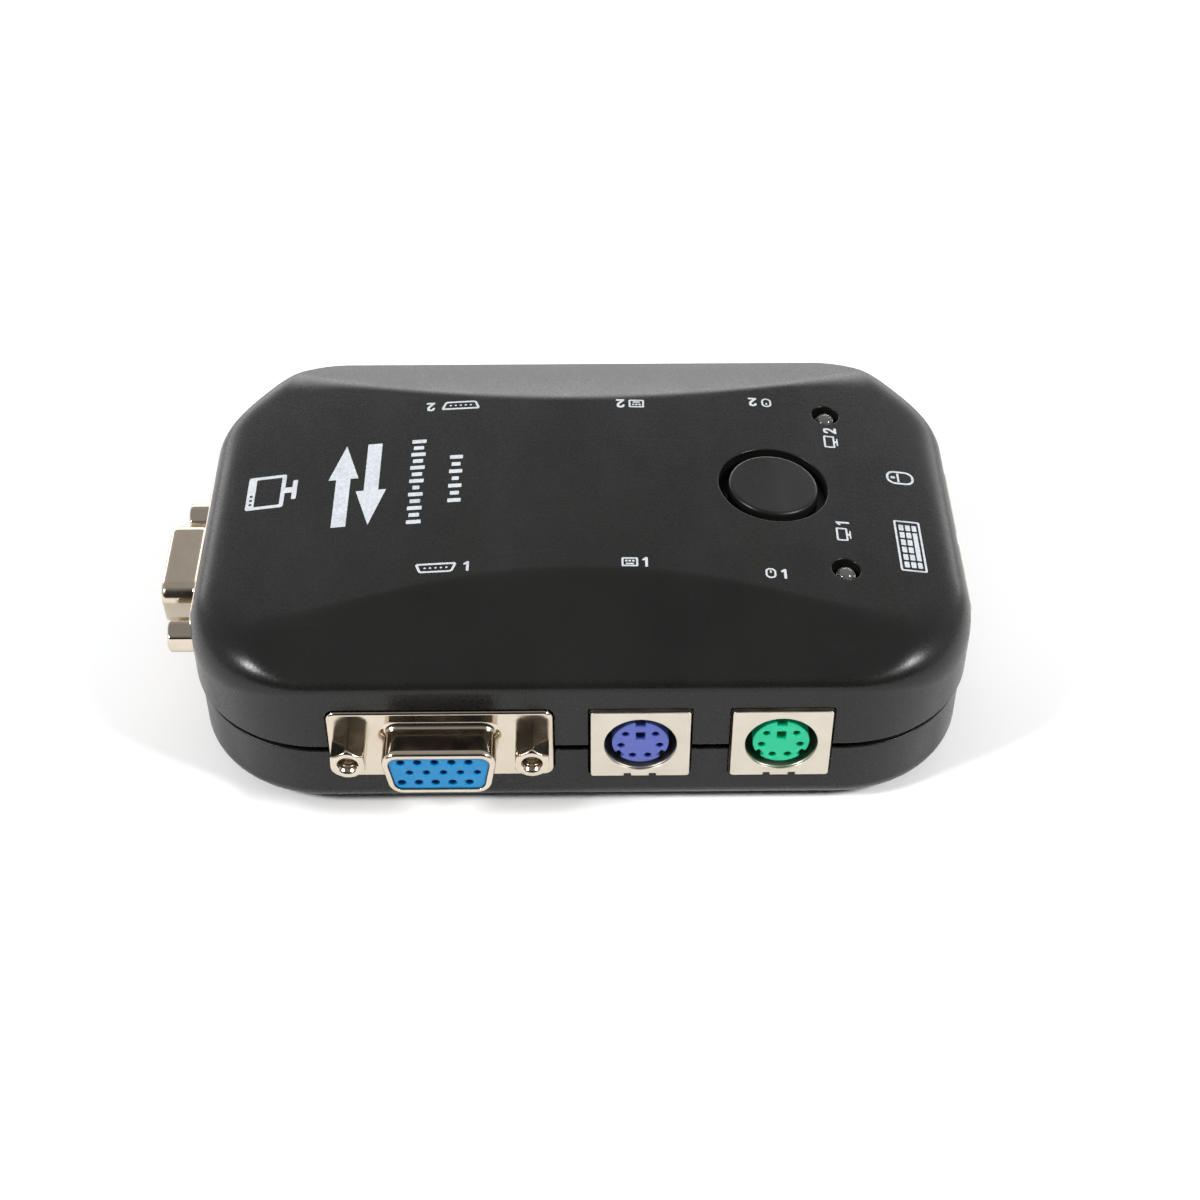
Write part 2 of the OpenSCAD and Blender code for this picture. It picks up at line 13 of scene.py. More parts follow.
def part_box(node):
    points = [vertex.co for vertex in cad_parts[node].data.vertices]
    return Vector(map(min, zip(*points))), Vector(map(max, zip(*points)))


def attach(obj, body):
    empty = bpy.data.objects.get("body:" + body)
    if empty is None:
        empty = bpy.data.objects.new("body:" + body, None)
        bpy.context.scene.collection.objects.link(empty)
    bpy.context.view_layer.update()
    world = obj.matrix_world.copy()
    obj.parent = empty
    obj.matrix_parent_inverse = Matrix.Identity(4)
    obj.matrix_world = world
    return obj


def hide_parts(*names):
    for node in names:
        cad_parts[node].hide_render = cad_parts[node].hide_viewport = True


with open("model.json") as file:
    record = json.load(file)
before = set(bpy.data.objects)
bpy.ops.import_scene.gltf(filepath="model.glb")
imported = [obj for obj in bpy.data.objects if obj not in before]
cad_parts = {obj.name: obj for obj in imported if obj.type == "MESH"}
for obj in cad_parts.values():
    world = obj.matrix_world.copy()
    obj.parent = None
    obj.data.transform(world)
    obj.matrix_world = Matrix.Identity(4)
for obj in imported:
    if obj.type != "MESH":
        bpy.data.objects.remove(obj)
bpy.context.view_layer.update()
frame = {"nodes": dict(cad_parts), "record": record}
MM = 0.001
UP = np.array([0.0, 0.0, 1.0])


def span(node):
    """Lowest and highest corner of a CAD node, in millimetres."""
    low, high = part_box(node)
    return np.array(low) / MM, np.array(high) / MM


# ---- measures read from the frame ----
cover_low, cover_high = span("top_cover")
base_low, base_high = span("bottom_cover")
CASE_X = (cover_low[0] + cover_high[0]) / 2
HALF_W = (cover_high[0] - cover_low[0]) / 2
HALF_D = (cover_high[1] - cover_low[1]) / 2
APEX = cover_high[2]
FLOOR_Z = base_low[2]
BASE_INSET = HALF_W - (base_high[0] - base_low[0]) / 2
PORT_Z = (span("pc1_mouse_shield")[1][2]) - 6.5

# ---- shape of the case ----
CORNER_R = 19.0
CROWN_R = 318.0
FACET = math.radians(20)
CREASE_Y = 19.1
BULGE = 0.25                   # how far the facets swell
SOFT, END_SOFT = 0.30, 1.3     # how much height the crease's softening spreads over, more at its ends
RIM_R, SIDE_R, CORNER_SOFT = 2.2, 7.0, 2.2   # rim above the long walls and the ends, and more at the corners
BASE_R = 3.0
PARTING = PORT_Z - 0.5
GROOVE = 1.35                  # height of the parting groove
LIP = 0.18                     # radius on every moulded edge
TOP_SHEET, BASE_SHEET = 1.1, 1.7   # how thick the covers are drawn
LIGHT_HOLE, SCREW_HOLE = 2.6, 2.8  # how deep the holes for the lights and the case screws are
WELD_FINE = 0.0008             # points nearer than this become one, between finished parts of a mesh


# ---- mesh tools ----
def unit(v):
    v = np.asarray(v, float)
    return v / np.maximum(np.linalg.norm(v, axis=-1, keepdims=True), 1e-12)


def inside(loop, pts):
    """Which of pts lie inside a closed polygon."""
    x, y = pts[:, 0], pts[:, 1]
    hit = np.zeros(len(pts), bool)
    a = np.asarray(loop)
    b = np.roll(a, -1, 0)
    for (x0, y0), (x1, y1) in zip(a, b):
        if y0 != y1:
            hit ^= ((y0 > y) != (y1 > y)) & (x < (x1 - x0) * (y - y0) / (y1 - y0) + x0)
    return hit


def clear_of(loops, pts, gap):
    """The pts that lie in the first loop, outside the others, and at least gap from every edge."""
    keep = inside(loops[0], pts)
    for hole in loops[1:]:
        keep &= ~inside(hole, pts)
    pts = pts[keep]
    for loop in loops:
        a = np.asarray(loop)
        d = np.roll(a, -1, 0) - a
        size = np.maximum((d * d).sum(1), 1e-12)
        best = np.full(len(pts), 1e9)
        for (p, v, s) in zip(a, d, size):
            t = np.clip(((pts - p) @ v) / s, 0, 1)
            best = np.minimum(best, np.linalg.norm(pts - p - t[:, None] * v, axis=1))
        pts = pts[best > gap]
    return pts


def triangulate(loops, extra=(), test=None):
    """Triangles of the flat region inside loops[0] and outside the other loops, or where test says."""
    verts, edges = [], []
    for loop in loops:
        first = len(verts)
        verts += [Vector((float(p[0]), float(p[1]))) for p in loop]
        edges += [(first + i, first + (i + 1) % len(loop)) for i in range(len(loop))]
    verts += [Vector((float(p[0]), float(p[1]))) for p in extra]
    out = delaunay_2d_cdt(verts, edges, [], 0, 1e-6)
    pts = np.array([(p[0], p[1]) for p in out[0]])
    tri = np.array([list(t) for t in out[2]])
    mid = pts[tri].mean(1)
    if test:
        keep = test(mid)
    else:
        keep = inside(loops[0], mid)
        for hole in loops[1:]:
            keep &= ~inside(hole, mid)
    tri = tri[keep]
    a, b, c = pts[tri[:, 0]], pts[tri[:, 1]], pts[tri[:, 2]]
    area = (b[:, 0] - a[:, 0]) * (c[:, 1] - a[:, 1]) - (b[:, 1] - a[:, 1]) * (c[:, 0] - a[:, 0])
    tri = tri[np.abs(area) > 1e-7]
    area = area[np.abs(area) > 1e-7]
    tri[area < 0] = tri[area < 0][:, ::-1]
    return pts, tri


class Body:
    """A growing mesh: points with normals, and faces. Points at one place are welded at the end."""

    def __init__(self):
        self.p, self.n, self.f, self.count = [], [], [], 0

    def add(self, points, normals, faces):
        self.p.append(np.asarray(points, float).reshape(-1, 3))
        self.n.append(unit(np.asarray(normals, float).reshape(-1, 3)))
        self.f += [tuple(int(i) + self.count for i in face) for face in faces]
        self.count += len(self.p[-1])
        return self

    def grid(self, points, normals, closed=False):
        """A sheet of quads over points[row][column]."""
        points = np.asarray(points, float)
        rows, cols = points.shape[:2]
        faces = []
        for r in range(rows - 1):
            for c in range(cols if closed else cols - 1):
                d = (c + 1) % cols
                faces.append((r * cols + c, r * cols + d, (r + 1) * cols + d, (r + 1) * cols + c))
        return self.add(points, normals, faces)

    def join(self, other):
        return self.add(np.vstack(other.p), np.vstack(other.n), other.f)

    def moved(self, matrix):
        m = np.array(matrix)
        self.p = [q @ m[:3, :3].T + m[:3, 3] for q in self.p]
        self.n = [q @ m[:3, :3].T for q in self.n]
        return self

    def weld(self, gap=0.004):
        """Joins points that lie together and face alike, and winds each face to agree with its normals."""
        p, n = np.vstack(self.p), np.vstack(self.n)
        tree = KDTree(len(p))
        for i, q in enumerate(p):
            tree.insert(q, i)
        tree.balance()
        to = np.arange(len(p))
        for i, q in enumerate(p):
            if to[i] == i:
                for _, j, _ in tree.find_range(q, gap):
                    if j > i and to[j] == j and n[i] @ n[j] > 0.2:
                        to[j] = i
        keep = np.flatnonzero(to == np.arange(len(p)))
        index = np.zeros(len(p), int)
        index[keep] = np.arange(len(keep))
        faces = []
        for face in self.f:
            ring = [int(index[to[i]]) for i in face]
            ring = [a for k, a in enumerate(ring) if a != ring[k - 1]]
            if len(set(ring)) > 2:
                faces.append(tuple(ring))
        q, m = p[keep], n[keep]
        for size in (3, 4):
            which = [k for k, ring in enumerate(faces) if len(ring) == size]
            if which:
                f = np.array([faces[k] for k in which])
                turn = np.cross(q[f[:, 2]] - q[f[:, 0]], q[f[:, -1]] - q[f[:, 1]])
                for k in np.flatnonzero((turn * m[f].sum(1)).sum(1) < 0):
                    faces[which[k]] = faces[which[k]][::-1]
        self.p, self.n, self.f, self.count = [p[keep]], [n[keep]], faces, len(keep)
        return self

    def rims(self):
        """Closed rings of open edges, each with the direction away from the sheet."""
        p, n = self.p[0], self.n[0]
        follow, seen = {}, set()
        for face in self.f:
            for a, b in zip(face, face[1:] + face[:1]):
                seen.add((a, b))
        for a, b in seen:
            if (b, a) not in seen:
                follow[a] = b
        rings = []
        while follow:
            start = next(iter(follow))
            ring, at = [], start
            while at in follow:
                ring.append(at)
                at = follow.pop(at)
            ring = np.array(ring)
            step = unit(np.roll(p[ring], -1, 0) - p[ring])
            out = unit(np.cross(step, unit(n[ring] + n[np.roll(ring, -1)])))
            before = np.roll(out, 1, 0)
            both = unit(out + before)
            both = both / np.maximum((both * out).sum(1, keepdims=True), 0.6)
            rings.append((ring, both))
        return rings

    def thicken(self, depth, paths=None, lip=LIP):
        """Closes a sheet into a solid: rounded edges, and a back face at depth.
        paths(p, n) may give another depth for the ring with those points and normals."""
        self.weld()
        p, n, faces = self.p[0], self.n[0], list(self.f)
        rings = self.rims()
        self.add(p - n * depth, -n, [tuple(i for i in reversed(face)) for face in faces])
        for ring, out in rings:
            deep = paths(p[ring], n[ring]) if paths else None
            far = depth if deep is None else deep
            rows, normals = [p[ring]], [n[ring]]
            for k in range(1, 4):
                a = math.pi / 6 * k
                rows.append(p[ring] + out * lip * math.sin(a) - n[ring] * lip * (1 - math.cos(a)))
                normals.append(n[ring] * math.cos(a) + out * math.sin(a))
            for k in range(3, -1, -1):
                a = math.pi / 6 * k
                rows.append(p[ring] + out * lip * math.sin(a) - n[ring] * (far - lip * (1 - math.cos(a))))
                normals.append(-n[ring] * math.cos(a) + out * math.sin(a))
            if deep is not None:
                rows.append(p[ring] - n[ring] * depth)
                normals.append(-n[ring])
            self.grid(np.array(rows), np.array(normals), closed=True)
        return self.weld(WELD_FINE)


def show(name, data):
    """Puts a mesh, light or camera in the scene."""
    ob = bpy.data.objects.new(name, data)
    bpy.context.scene.collection.objects.link(ob)
    return ob


def piece(name, body, replaces, material, rides="case"):
    body.weld(WELD_FINE)
    mesh = bpy.data.meshes.new(name)
    mesh.from_pydata((np.vstack(body.p) * MM).tolist(), [], body.f)
    mesh.polygons.foreach_set("use_smooth", [True] * len(mesh.polygons))
    mesh.update()
    mesh.normals_split_custom_set_from_vertices(unit(np.vstack(body.n)).tolist())
    mesh.materials.append(material)
    ob = show(name, mesh)
    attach(ob, rides)
    if replaces:
        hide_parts(replaces)


def compass(count):
    """Even directions around a circle."""
    a = np.linspace(0, 2 * math.pi, count, endpoint=False)
    return np.column_stack([np.cos(a), np.sin(a)])


def lathe(rows, count=64, axis="z"):
    """Turns rows of (radius, height) about an axis. Normals come from the outline itself, and a
    repeated point starts a new, sharp-edged band."""
    body = Body()
    bands, band = [], [rows[0]]
    for row in rows[1:]:
        if math.dist(row, band[-1]) < 1e-6:
            bands.append(band)
            band = [row]
        else:
            band.append(row)
    bands.append(band)
    ring = compass(count)
    for band in bands:
        b = np.array(band, float)
        t = np.gradient(b, axis=0) if len(b) > 1 else np.array([[1.0, 0.0]])
        nr, nz = t[:, 1], -t[:, 0]
        pts, nor = [], []
        for (r, z), a, c in zip(b, nr, nz):
            r = max(r, 1e-5)
            pts.append(np.column_stack([ring * r, np.full(count, z)]))
            nor.append(np.column_stack([ring * a, np.full(count, c)]))
        body.grid(np.array(pts), np.array(nor), closed=True)
    if axis == "y":      # heights run along -Y
        turn = np.array([[1, 0, 0, 0], [0, 0, -1, 0], [0, 1, 0, 0], [0, 0, 0, 1]], float)
        body.moved(turn)
    return body


def arc(cx, cy, r, start, stop, steps):
    """Points on an arc, angles in degrees."""
    a = np.radians(np.linspace(start, stop, steps + 1))
    return [(cx + r * math.cos(t), cy + r * math.sin(t)) for t in a]


def ring_of(cx, cy, r, count=48):
    return np.array([cx, cy]) + r * compass(count)


def lattice(x_range, y_range):
    """Points of a square grid, from the arguments of two np.arange calls."""
    return np.array([(x, y) for x in np.arange(*x_range) for y in np.arange(*y_range)])


def box_loop(x0, y0, x1, y1, r, steps=5):
    """A rounded rectangle, counter-clockwise."""
    pts = (arc(x1 - r, y0 + r, r, -90, 0, steps) + arc(x1 - r, y1 - r, r, 0, 90, steps)
           + arc(x0 + r, y1 - r, r, 90, 180, steps) + arc(x0 + r, y0 + r, r, 180, 270, steps))
    return np.array(pts)


def front(pts2, y):
    """Points of an X-Z drawing at depth y. With directions and y = 0, their normals."""
    pts2 = np.asarray(pts2)
    return np.column_stack([pts2[:, 0], np.full(len(pts2), y), pts2[:, 1]])


def facing(direction, pts):
    """The same direction for each of pts."""
    return np.tile(direction, (len(pts), 1))


def quarter(steps):
    """Sine and cosine at even steps through a quarter turn."""
    return [(math.sin(math.pi / 2 * k / steps), math.cos(math.pi / 2 * k / steps)) for k in range(steps + 1)]


def fine(loop, step):
    """The same closed loop with no edge longer than step."""
    out = []
    loop = np.asarray(loop, float)
    for a, b in zip(loop, np.roll(loop, -1, 0)):
        k = max(1, int(math.ceil(np.linalg.norm(b - a) / step)))
        out += [a + (b - a) * i / k for i in range(k)]
    return np.array(out)


# ---- the case's own geometry ----
def outline_table():
    """Dense table of the outline seen from above: length along it, place and outward normal."""
    cx, cy = HALF_W - CORNER_R, HALF_D - CORNER_R
    pts, nor = [], []

    def corner(x, y, a0, a1):
        for a in np.radians(np.arange(a0, a1, 0.25)):
            pts.append((x + CORNER_R * math.cos(a), y + CORNER_R * math.sin(a)))
            nor.append((math.cos(a), math.sin(a)))

    def line(x0, y0, x1, y1, n):
        count = int(math.hypot(x1 - x0, y1 - y0) / 0.1)
        for k in range(count):
            pts.append((x0 + (x1 - x0) * k / count, y0 + (y1 - y0) * k / count))
            nor.append(n)

    corner(-cx, cy, 135, 180)
    line(-HALF_W, cy, -HALF_W, -cy, (-1, 0))
    corner(-cx, -cy, 180, 270)
    line(-cx, -HALF_D, cx, -HALF_D, (0, -1))
    corner(cx, -cy, 270, 360)
    line(HALF_W, -cy, HALF_W, cy, (1, 0))
    corner(cx, cy, 0, 90)
    line(cx, HALF_D, -cx, HALF_D, (0, 1))
    corner(-cx, cy, 90, 135.01)
    pts, nor = np.array(pts), np.array(nor)
    s = np.concatenate([[0], np.cumsum(np.linalg.norm(np.diff(pts, axis=0), axis=1))])
    return s, pts, nor


S_TABLE, P_TABLE, N_TABLE = outline_table()
LENGTH = S_TABLE[-1]


def outline(s):
    """Place and outward normal at length s along the outline, in the case's own frame."""
    s = np.asarray(s, float)
    p = np.stack([np.interp(s, S_TABLE, P_TABLE[:, k]) for k in (0, 1)], -1)
    n = np.stack([np.interp(s, S_TABLE, N_TABLE[:, k]) for k in (0, 1)], -1)
    return p, unit(n)


def s_at(x, y):
    """Length along the outline of the point nearest to x, y."""
    return S_TABLE[np.argmin(np.hypot(P_TABLE[:, 0] - x, P_TABLE[:, 1] - y))]


def crown_at(x):
    """Height of the crown, an arc across the width."""
    return APEX - CROWN_R + np.sqrt(CROWN_R ** 2 - x ** 2)


def top(x, y):
    """Height of the top: a crown that falls to the left and right, and two slightly bulging facets."""
    x, y = np.asarray(x, float), np.asarray(y, float)
    crown = crown_at(x)
    v, w = np.abs(y) - CREASE_Y, HALF_D - CREASE_Y
    facet = APEX - v * math.tan(FACET) + BULGE * 4 * v * (w - v) / w ** 2
    soft = SOFT + END_SOFT * np.clip((np.abs(x) - 28) / 18, 0, 1) ** 2
    h = np.maximum(soft - np.abs(crown - facet), 0) / soft
    return np.minimum(crown, facet) - h * h * soft / 4


def top_normal(x, y):
    """Upward normal of the top, from its slopes."""
    e = 0.02
    dx = (top(x + e, y) - top(x - e, y)) / (2 * e)
    dy = (top(x, y + e) - top(x, y - e)) / (2 * e)
    return unit(np.stack([-dx, -dy, np.ones_like(dx)], -1))


def crease_at(x):
    """Distance of the crease from the case's middle line."""
    return CREASE_Y + (APEX - crown_at(x)) / math.tan(FACET)


COLUMNS = 300
S_COL = np.linspace(0, LENGTH, COLUMNS + 1)


def rim(s):
    """The rolled edge between wall and top at each s: its radius, centre height and end angle."""
    p, n = outline(s)
    r = RIM_R + (SIDE_R - RIM_R) * n[:, 0] ** 2 * (3 - 2 * np.abs(n[:, 0]))
    r = r + CORNER_SOFT * (2 * np.abs(n[:, 0] * n[:, 1])) ** 2
    t = np.linspace(0.0005, 1.3, 1500)
    heights, ends = [], []
    for (px, py), (nx, ny), rr in zip(p, n, r):
        tt = t * rr
        gap = top(px - tt * nx, py - tt * ny) - np.sqrt(np.maximum(rr ** 2 - (tt - rr) ** 2, 0))
        k = int(np.argmin(gap))
        heights.append(gap[k])
        ends.append(math.acos(max(-1.0, min(1.0, (rr - tt[k]) / rr))))
    return p, n, r, np.array(heights), np.array(ends)


RIM_P, RIM_N, RIM_RAD, RIM_Z, RIM_END = rim(S_COL)
ARC_STEPS = 14


def shift(x, y):
    """Moves a body from the case's middle to x, y."""
    return Matrix.Translation((x + CASE_X, y, 0))


def lift(pts2, height):
    """Points of a drawing seen from above, at a height."""
    points = np.column_stack([pts2, height])
    points[:, 0] += CASE_X
    return points


def level(directions):
    """Directions seen from above, as horizontal normals."""
    return np.column_stack([directions, np.zeros(len(directions))])


def side_of(node):
    """The side of the case that a socket's node stands on, and its place along it."""
    low, high = span(node)
    if low[1] < -HALF_D:
        return "front", (low[0] + high[0]) / 2 - CASE_X
    if high[1] > HALF_D:
        return "back", (low[0] + high[0]) / 2 - CASE_X
    if low[0] < CASE_X - HALF_W:
        return "left", (low[1] + high[1]) / 2
    return "right", (low[1] + high[1]) / 2


VIDEO = ["pc1_video", "pc2_video", "monitor"]
VIDEO_LIFT = 0.3               # how much higher than the jacks the video sockets sit
JACKS = ["pc1_keyboard", "pc1_mouse", "pc2_keyboard", "pc2_mouse", "shared_keyboard", "shared_mouse"]
TURN = {"front": 0, "right": 90, "back": 180, "left": -90}


def opening(kind, side, along):
    """The opening's outline as (s, z), its rounded corners included."""
    x, y = {"front": (along, -HALF_D), "back": (along, HALF_D),
            "left": (-HALF_W, along), "right": (HALF_W, along)}[side]
    mid = s_at(x, y)
    if kind == "video":
        middle = PORT_Z + VIDEO_LIFT
        half, low, high, r = 15.405 + 0.08, middle - 6.34, middle + 6.34, 1.4
    else:
        half, low, high, r = 7.07, PORT_Z - 6.6, PORT_Z + 6.6, 0.35
    return mid, half, low, high, r


OPENINGS = sorted([opening("video", *side_of(v + "_shell")) for v in VIDEO]
                  + [opening("jack", *side_of(j + "_shield")) for j in JACKS])


def wall_loop(edge_z, upper, far_z):
    """Outline of the unrolled wall. Along edge_z it has the sockets' notches; the other long side
    follows far_z, one height for each column."""
    pts = [(0.0, edge_z)]
    turn, last = (90, 0) if upper else (270, 360)
    for mid, half, low, high, r in OPENINGS:
        half += LIP
        z = high + LIP - r if upper else low - LIP + r
        pts += [(mid - half, edge_z), (mid - half, z)] + arc(mid - half + r, z, r, 180, turn, 5)[1:]
        pts += arc(mid + half - r, z, r, turn, last, 5) + [(mid + half, edge_z)]
    pts.append((LENGTH, edge_z))
    dense = []
    for a, b in zip(pts[:-1], pts[1:]):
        k = max(1, int(math.ceil(math.dist(a, b) / 1.2)))
        dense += [(a[0] + (b[0] - a[0]) * i / k, a[1] + (b[1] - a[1]) * i / k) for i in range(k)]
    dense.append(pts[-1])
    rows = np.linspace(edge_z, far_z[-1], 8)[1:-1]
    dense += [(LENGTH, z) for z in rows]
    dense += [(s, z) for s, z in zip(S_COL[::-1], far_z[::-1])]
    dense += [(0.0, z) for z in rows[::-1]]
    loop = np.array(dense)
    return loop if upper else loop[::-1]


def wall(edge_z, upper, far_z, inset):
    loop = wall_loop(edge_z, upper, far_z)
    z = np.arange(min(edge_z, far_z.min()), max(edge_z, far_z.max()), 1.25)
    s, zz = np.meshgrid(S_COL[1:-1], z)
    extra = clear_of([loop], np.column_stack([s.ravel(), zz.ravel()]), 0.5)
    pts, tri = triangulate([loop], extra)
    p, n = outline(pts[:, 0])
    body = Body()
    body.add(lift(p - n * inset, pts[:, 1]), level(n), tri)
    return body


def rolled(p, n, r, centre, end, inset, downward):
    """The quads of a rolled edge, from the wall to where the arc ends."""
    rows, normals = [], []
    sign = -1 if downward else 1
    for k in range(ARC_STEPS + 1):
        a = end * k / ARC_STEPS
        t = inset + r * (1 - np.cos(a))
        rows.append(lift(p - n * t[:, None], centre + sign * r * np.sin(a)))
        normals.append(np.column_stack([n * np.cos(a)[:, None], sign * np.sin(a)]))
    return np.array(rows), np.array(normals)


# ---- top cover ----
BUTTON_BOX = span("select_button")
BUTTON_C = ((BUTTON_BOX[0][:2] + BUTTON_BOX[1][:2]) / 2) - np.array([CASE_X, 0])
CAP_R = 6.5
RING_R = CAP_R + 1.4
BUTTON_FLANGE = APEX - 4.2     # top of the flange that keeps the button in
BORE_GAP = 0.05                # between that flange and the end of the button's bore
LIGHTS = []
for node in ("pc1_light", "pc2_light"):
    low, high = span(node)
    LIGHTS.append(((low + high) / 2 - np.array([CASE_X, 0, 0]), low, high))
LIGHT_R = 2.05


def build_top_cover():
    sheet = Body()
    inset = RIM_RAD * (1 - np.cos(RIM_END))
    contour = (RIM_P - RIM_N * inset[:, None])[:-1]
    loops = [contour, ring_of(*BUTTON_C, RING_R + LIP, 72)]
    loops += [ring_of(c[0], c[1], LIGHT_R + LIP, 36) for c, _, _ in LIGHTS]
    extra = lattice((-54, 54.1, 1.15), (-35, 35.1, 1.15))
    bands = []
    for off in (-1.5, -1.0, -0.5, 0, 0.5, 1.0, 1.5):
        x = np.arange(-52, 52.1, 0.9)
        for sign in (-1, 1):
            bands.append(np.column_stack([x, sign * (crease_at(x) + off)]))
    bands = np.vstack(bands)
    near = np.abs(np.abs(extra[:, 1]) - crease_at(extra[:, 0])) < 2.0
    extra = np.vstack([extra[~near], bands])
    rings = [ring_of(*BUTTON_C, RING_R + LIP + g, 72) for g in (0.6, 1.3)]
    rings += [ring_of(c[0], c[1], LIGHT_R + LIP + 0.5, 30) for c, _, _ in LIGHTS]
    around = [ring_of(*BUTTON_C, RING_R + LIP + 2.0, 72)]
    around += [ring_of(c[0], c[1], LIGHT_R + LIP + 1.1, 30) for c, _, _ in LIGHTS]
    for loop in around:
        extra = extra[~inside(loop, extra)]
    extra = np.vstack([clear_of(loops, extra, 0.5)] + rings)
    pts, tri = triangulate(loops, extra)
    sheet.add(lift(pts, top(pts[:, 0], pts[:, 1])), top_normal(pts[:, 0], pts[:, 1]), tri)
    rows, normals = rolled(RIM_P, RIM_N, RIM_RAD, RIM_Z, RIM_END, 0.0, False)
    true = top_normal(contour[:, 0], contour[:, 1])
    true = np.vstack([true, true[:1]])
    for k in range(ARC_STEPS + 1):
        w = (k / ARC_STEPS) ** 2
        normals[k] = unit(normals[k] * (1 - w) + true * w)
    sheet.grid(rows, normals)
    sheet.join(wall(PARTING + LIP, True, RIM_Z, 0.0))

    def depths(p, n):
        centre = p.mean(0)
        if math.dist(centre[:2], BUTTON_C + np.array([CASE_X, 0])) < 1:
            return (p[:, 2:] - (BUTTON_FLANGE + BORE_GAP)) / n[:, 2:]
        for c, _, _ in LIGHTS:
            if math.dist(centre[:2], c[:2] + np.array([CASE_X, 0])) < 1:
                return LIGHT_HOLE
        return None

    return sheet.thicken(TOP_SHEET, depths)


# ---- bottom cover ----
SCREW_BOX = span("case_screws")
FEET_BOX = span("rubber_feet")


def corners_of(box, r):
    low, high = box
    return [(x - CASE_X, y) for x in (low[0] + r, high[0] - r) for y in (low[1] + r, high[1] - r)]


SCREWS = corners_of(SCREW_BOX, 2.75)
FEET = corners_of(FEET_BOX, 4.5)


def build_bottom_cover():
    sheet = Body()
    count = len(S_COL)
    centre = np.full(count, FLOOR_Z + BASE_R)
    r = np.full(count, BASE_R)
    end = np.full(count, math.pi / 2)
    rows, normals = rolled(RIM_P, RIM_N, r, centre, end, BASE_INSET, True)
    sheet.grid(rows, normals)
    contour = (RIM_P - RIM_N * (BASE_INSET + BASE_R))[:-1]
    loops = [contour] + [ring_of(x, y, 3.1 + LIP, 40) for x, y in SCREWS]
    loops += [ring_of(x, y, 4.6 + LIP, 48) for x, y in FEET]
    extra = lattice((-50, 50.1, 4), (-31, 31.1, 4))
    pts, tri = triangulate(loops, clear_of(loops, extra, 1.5))
    sheet.add(lift(pts, np.full(len(pts), FLOOR_Z)), facing(-UP, pts), tri[:, ::-1])
    sheet.join(wall(PARTING - GROOVE - LIP, False, centre, BASE_INSET))

    def depths(p, n):
        centre = p.mean(0)
        for x, y in SCREWS:
            if math.dist(centre[:2], (x + CASE_X, y)) < 1:
                return SCREW_HOLE
        return None

    sheet.thicken(BASE_SHEET, depths)
    # the lip that stands in the groove, between the sockets
    edges = [0.0]
    for mid, half, _, _, _ in OPENINGS:
        edges += [mid - half - 0.2, mid + half + 0.2]
    edges.append(LENGTH)
    for a, b in zip(edges[::2], edges[1::2]):
        cols = max(2, int((b - a) / 1.1))
        p, n = outline(np.linspace(a, b, cols))
        low, high = PARTING - GROOVE - 1.0, PARTING + 1.1
        ring = []
        for t, z in ((1.15, low), (1.15, high), (2.2, high), (2.2, low), (1.15, low)):
            ring.append(lift(p - n * t, np.full(cols, z)))
        flat = level(n)
        sides = [flat, facing(UP, n), -flat, facing(-UP, n)]
        for k in range(4):
            sheet.grid(np.array([ring[k], ring[k + 1]]), np.array([sides[k], sides[k]]))
        for end_col, sign in ((0, -1), (cols - 1, 1)):
            quad = np.array([ring[k][end_col] for k in range(4)])
            along = np.array([-n[end_col][1], n[end_col][0], 0]) * sign
            sheet.add(quad, np.tile(along, (4, 1)), [(0, 1, 2, 3) if sign > 0 else (3, 2, 1, 0)])
    # floors of the screw recesses and of the pockets for the feet
    for places, z, r, thick, count in ((SCREWS, FLOOR_Z + 2.55, 3.3, 1, 40), (FEET, FLOOR_Z + 0.5, 4.8, 0.5, 48)):
        for x, y in places:
            disc = lathe([(0, z), (r, z), (r, z), (r, z + thick), (r, z + thick), (0, z + thick)], count)
            sheet.join(disc.moved(shift(x, y)))
    return sheet


# ---- select button and lights ----
def build_button():
    """A cap that follows the crown, its stem and the flange that keeps it in."""
    body = Body()
    cx, cy = BUTTON_C
    edge, rise, e = 0.55, 0.1, 0.02

    def cap(x):
        return crown_at(x) + rise

    def slope_at(x):
        return (cap(x + e) - cap(x - e)) / (2 * e)

    rim_pts = ring_of(cx, cy, CAP_R - edge, 96)
    radii = np.arange(0.7, CAP_R - edge - 0.3, 0.7)
    extra = np.vstack([ring_of(cx, cy, r, max(8, int(r * 9))) for r in radii] + [np.array([[cx, cy]])])
    pts, tri = triangulate([rim_pts], extra)
    n = np.column_stack([-slope_at(pts[:, 0]), np.zeros(len(pts)), np.ones(len(pts))])
    body.add(lift(pts, cap(pts[:, 0])), n, tri)
    rows, normals = [], []
    out = compass(96)
    z, slope = cap(rim_pts[:, 0]), slope_at(rim_pts[:, 0])
    up = unit(np.column_stack([-slope, np.zeros(96), np.ones(96)]))
    side = level(out)
    for s, c in quarter(8):
        rows.append(lift(rim_pts + out * edge * s, z - edge * (1 - c) + slope * out[:, 0] * edge * s * c))
        normals.append(up * c + side * s)
    f = BUTTON_FLANGE
    for height in (f + 1.4, f):
        rows.append(lift(rim_pts + out * edge, np.full(96, height)))
        normals.append(side)
    body.grid(np.array(rows), np.array(normals), closed=True)
    low_z = BUTTON_BOX[0][2]
    ring = lathe([(9.0, f - 1.2), (9.0, f - 0.1), (8.9, f), (CAP_R, f)], 96)
    under = lathe([(2.0, f - 1.2), (9.0, f - 1.2)], 96)
    stem = lathe([(0, low_z), (2.0, low_z), (2.0, low_z), (2.0, f - 1.2)], 48)
    for extra_body in (ring, under, stem):
        body.join(extra_body.moved(shift(cx, cy)))
    return body


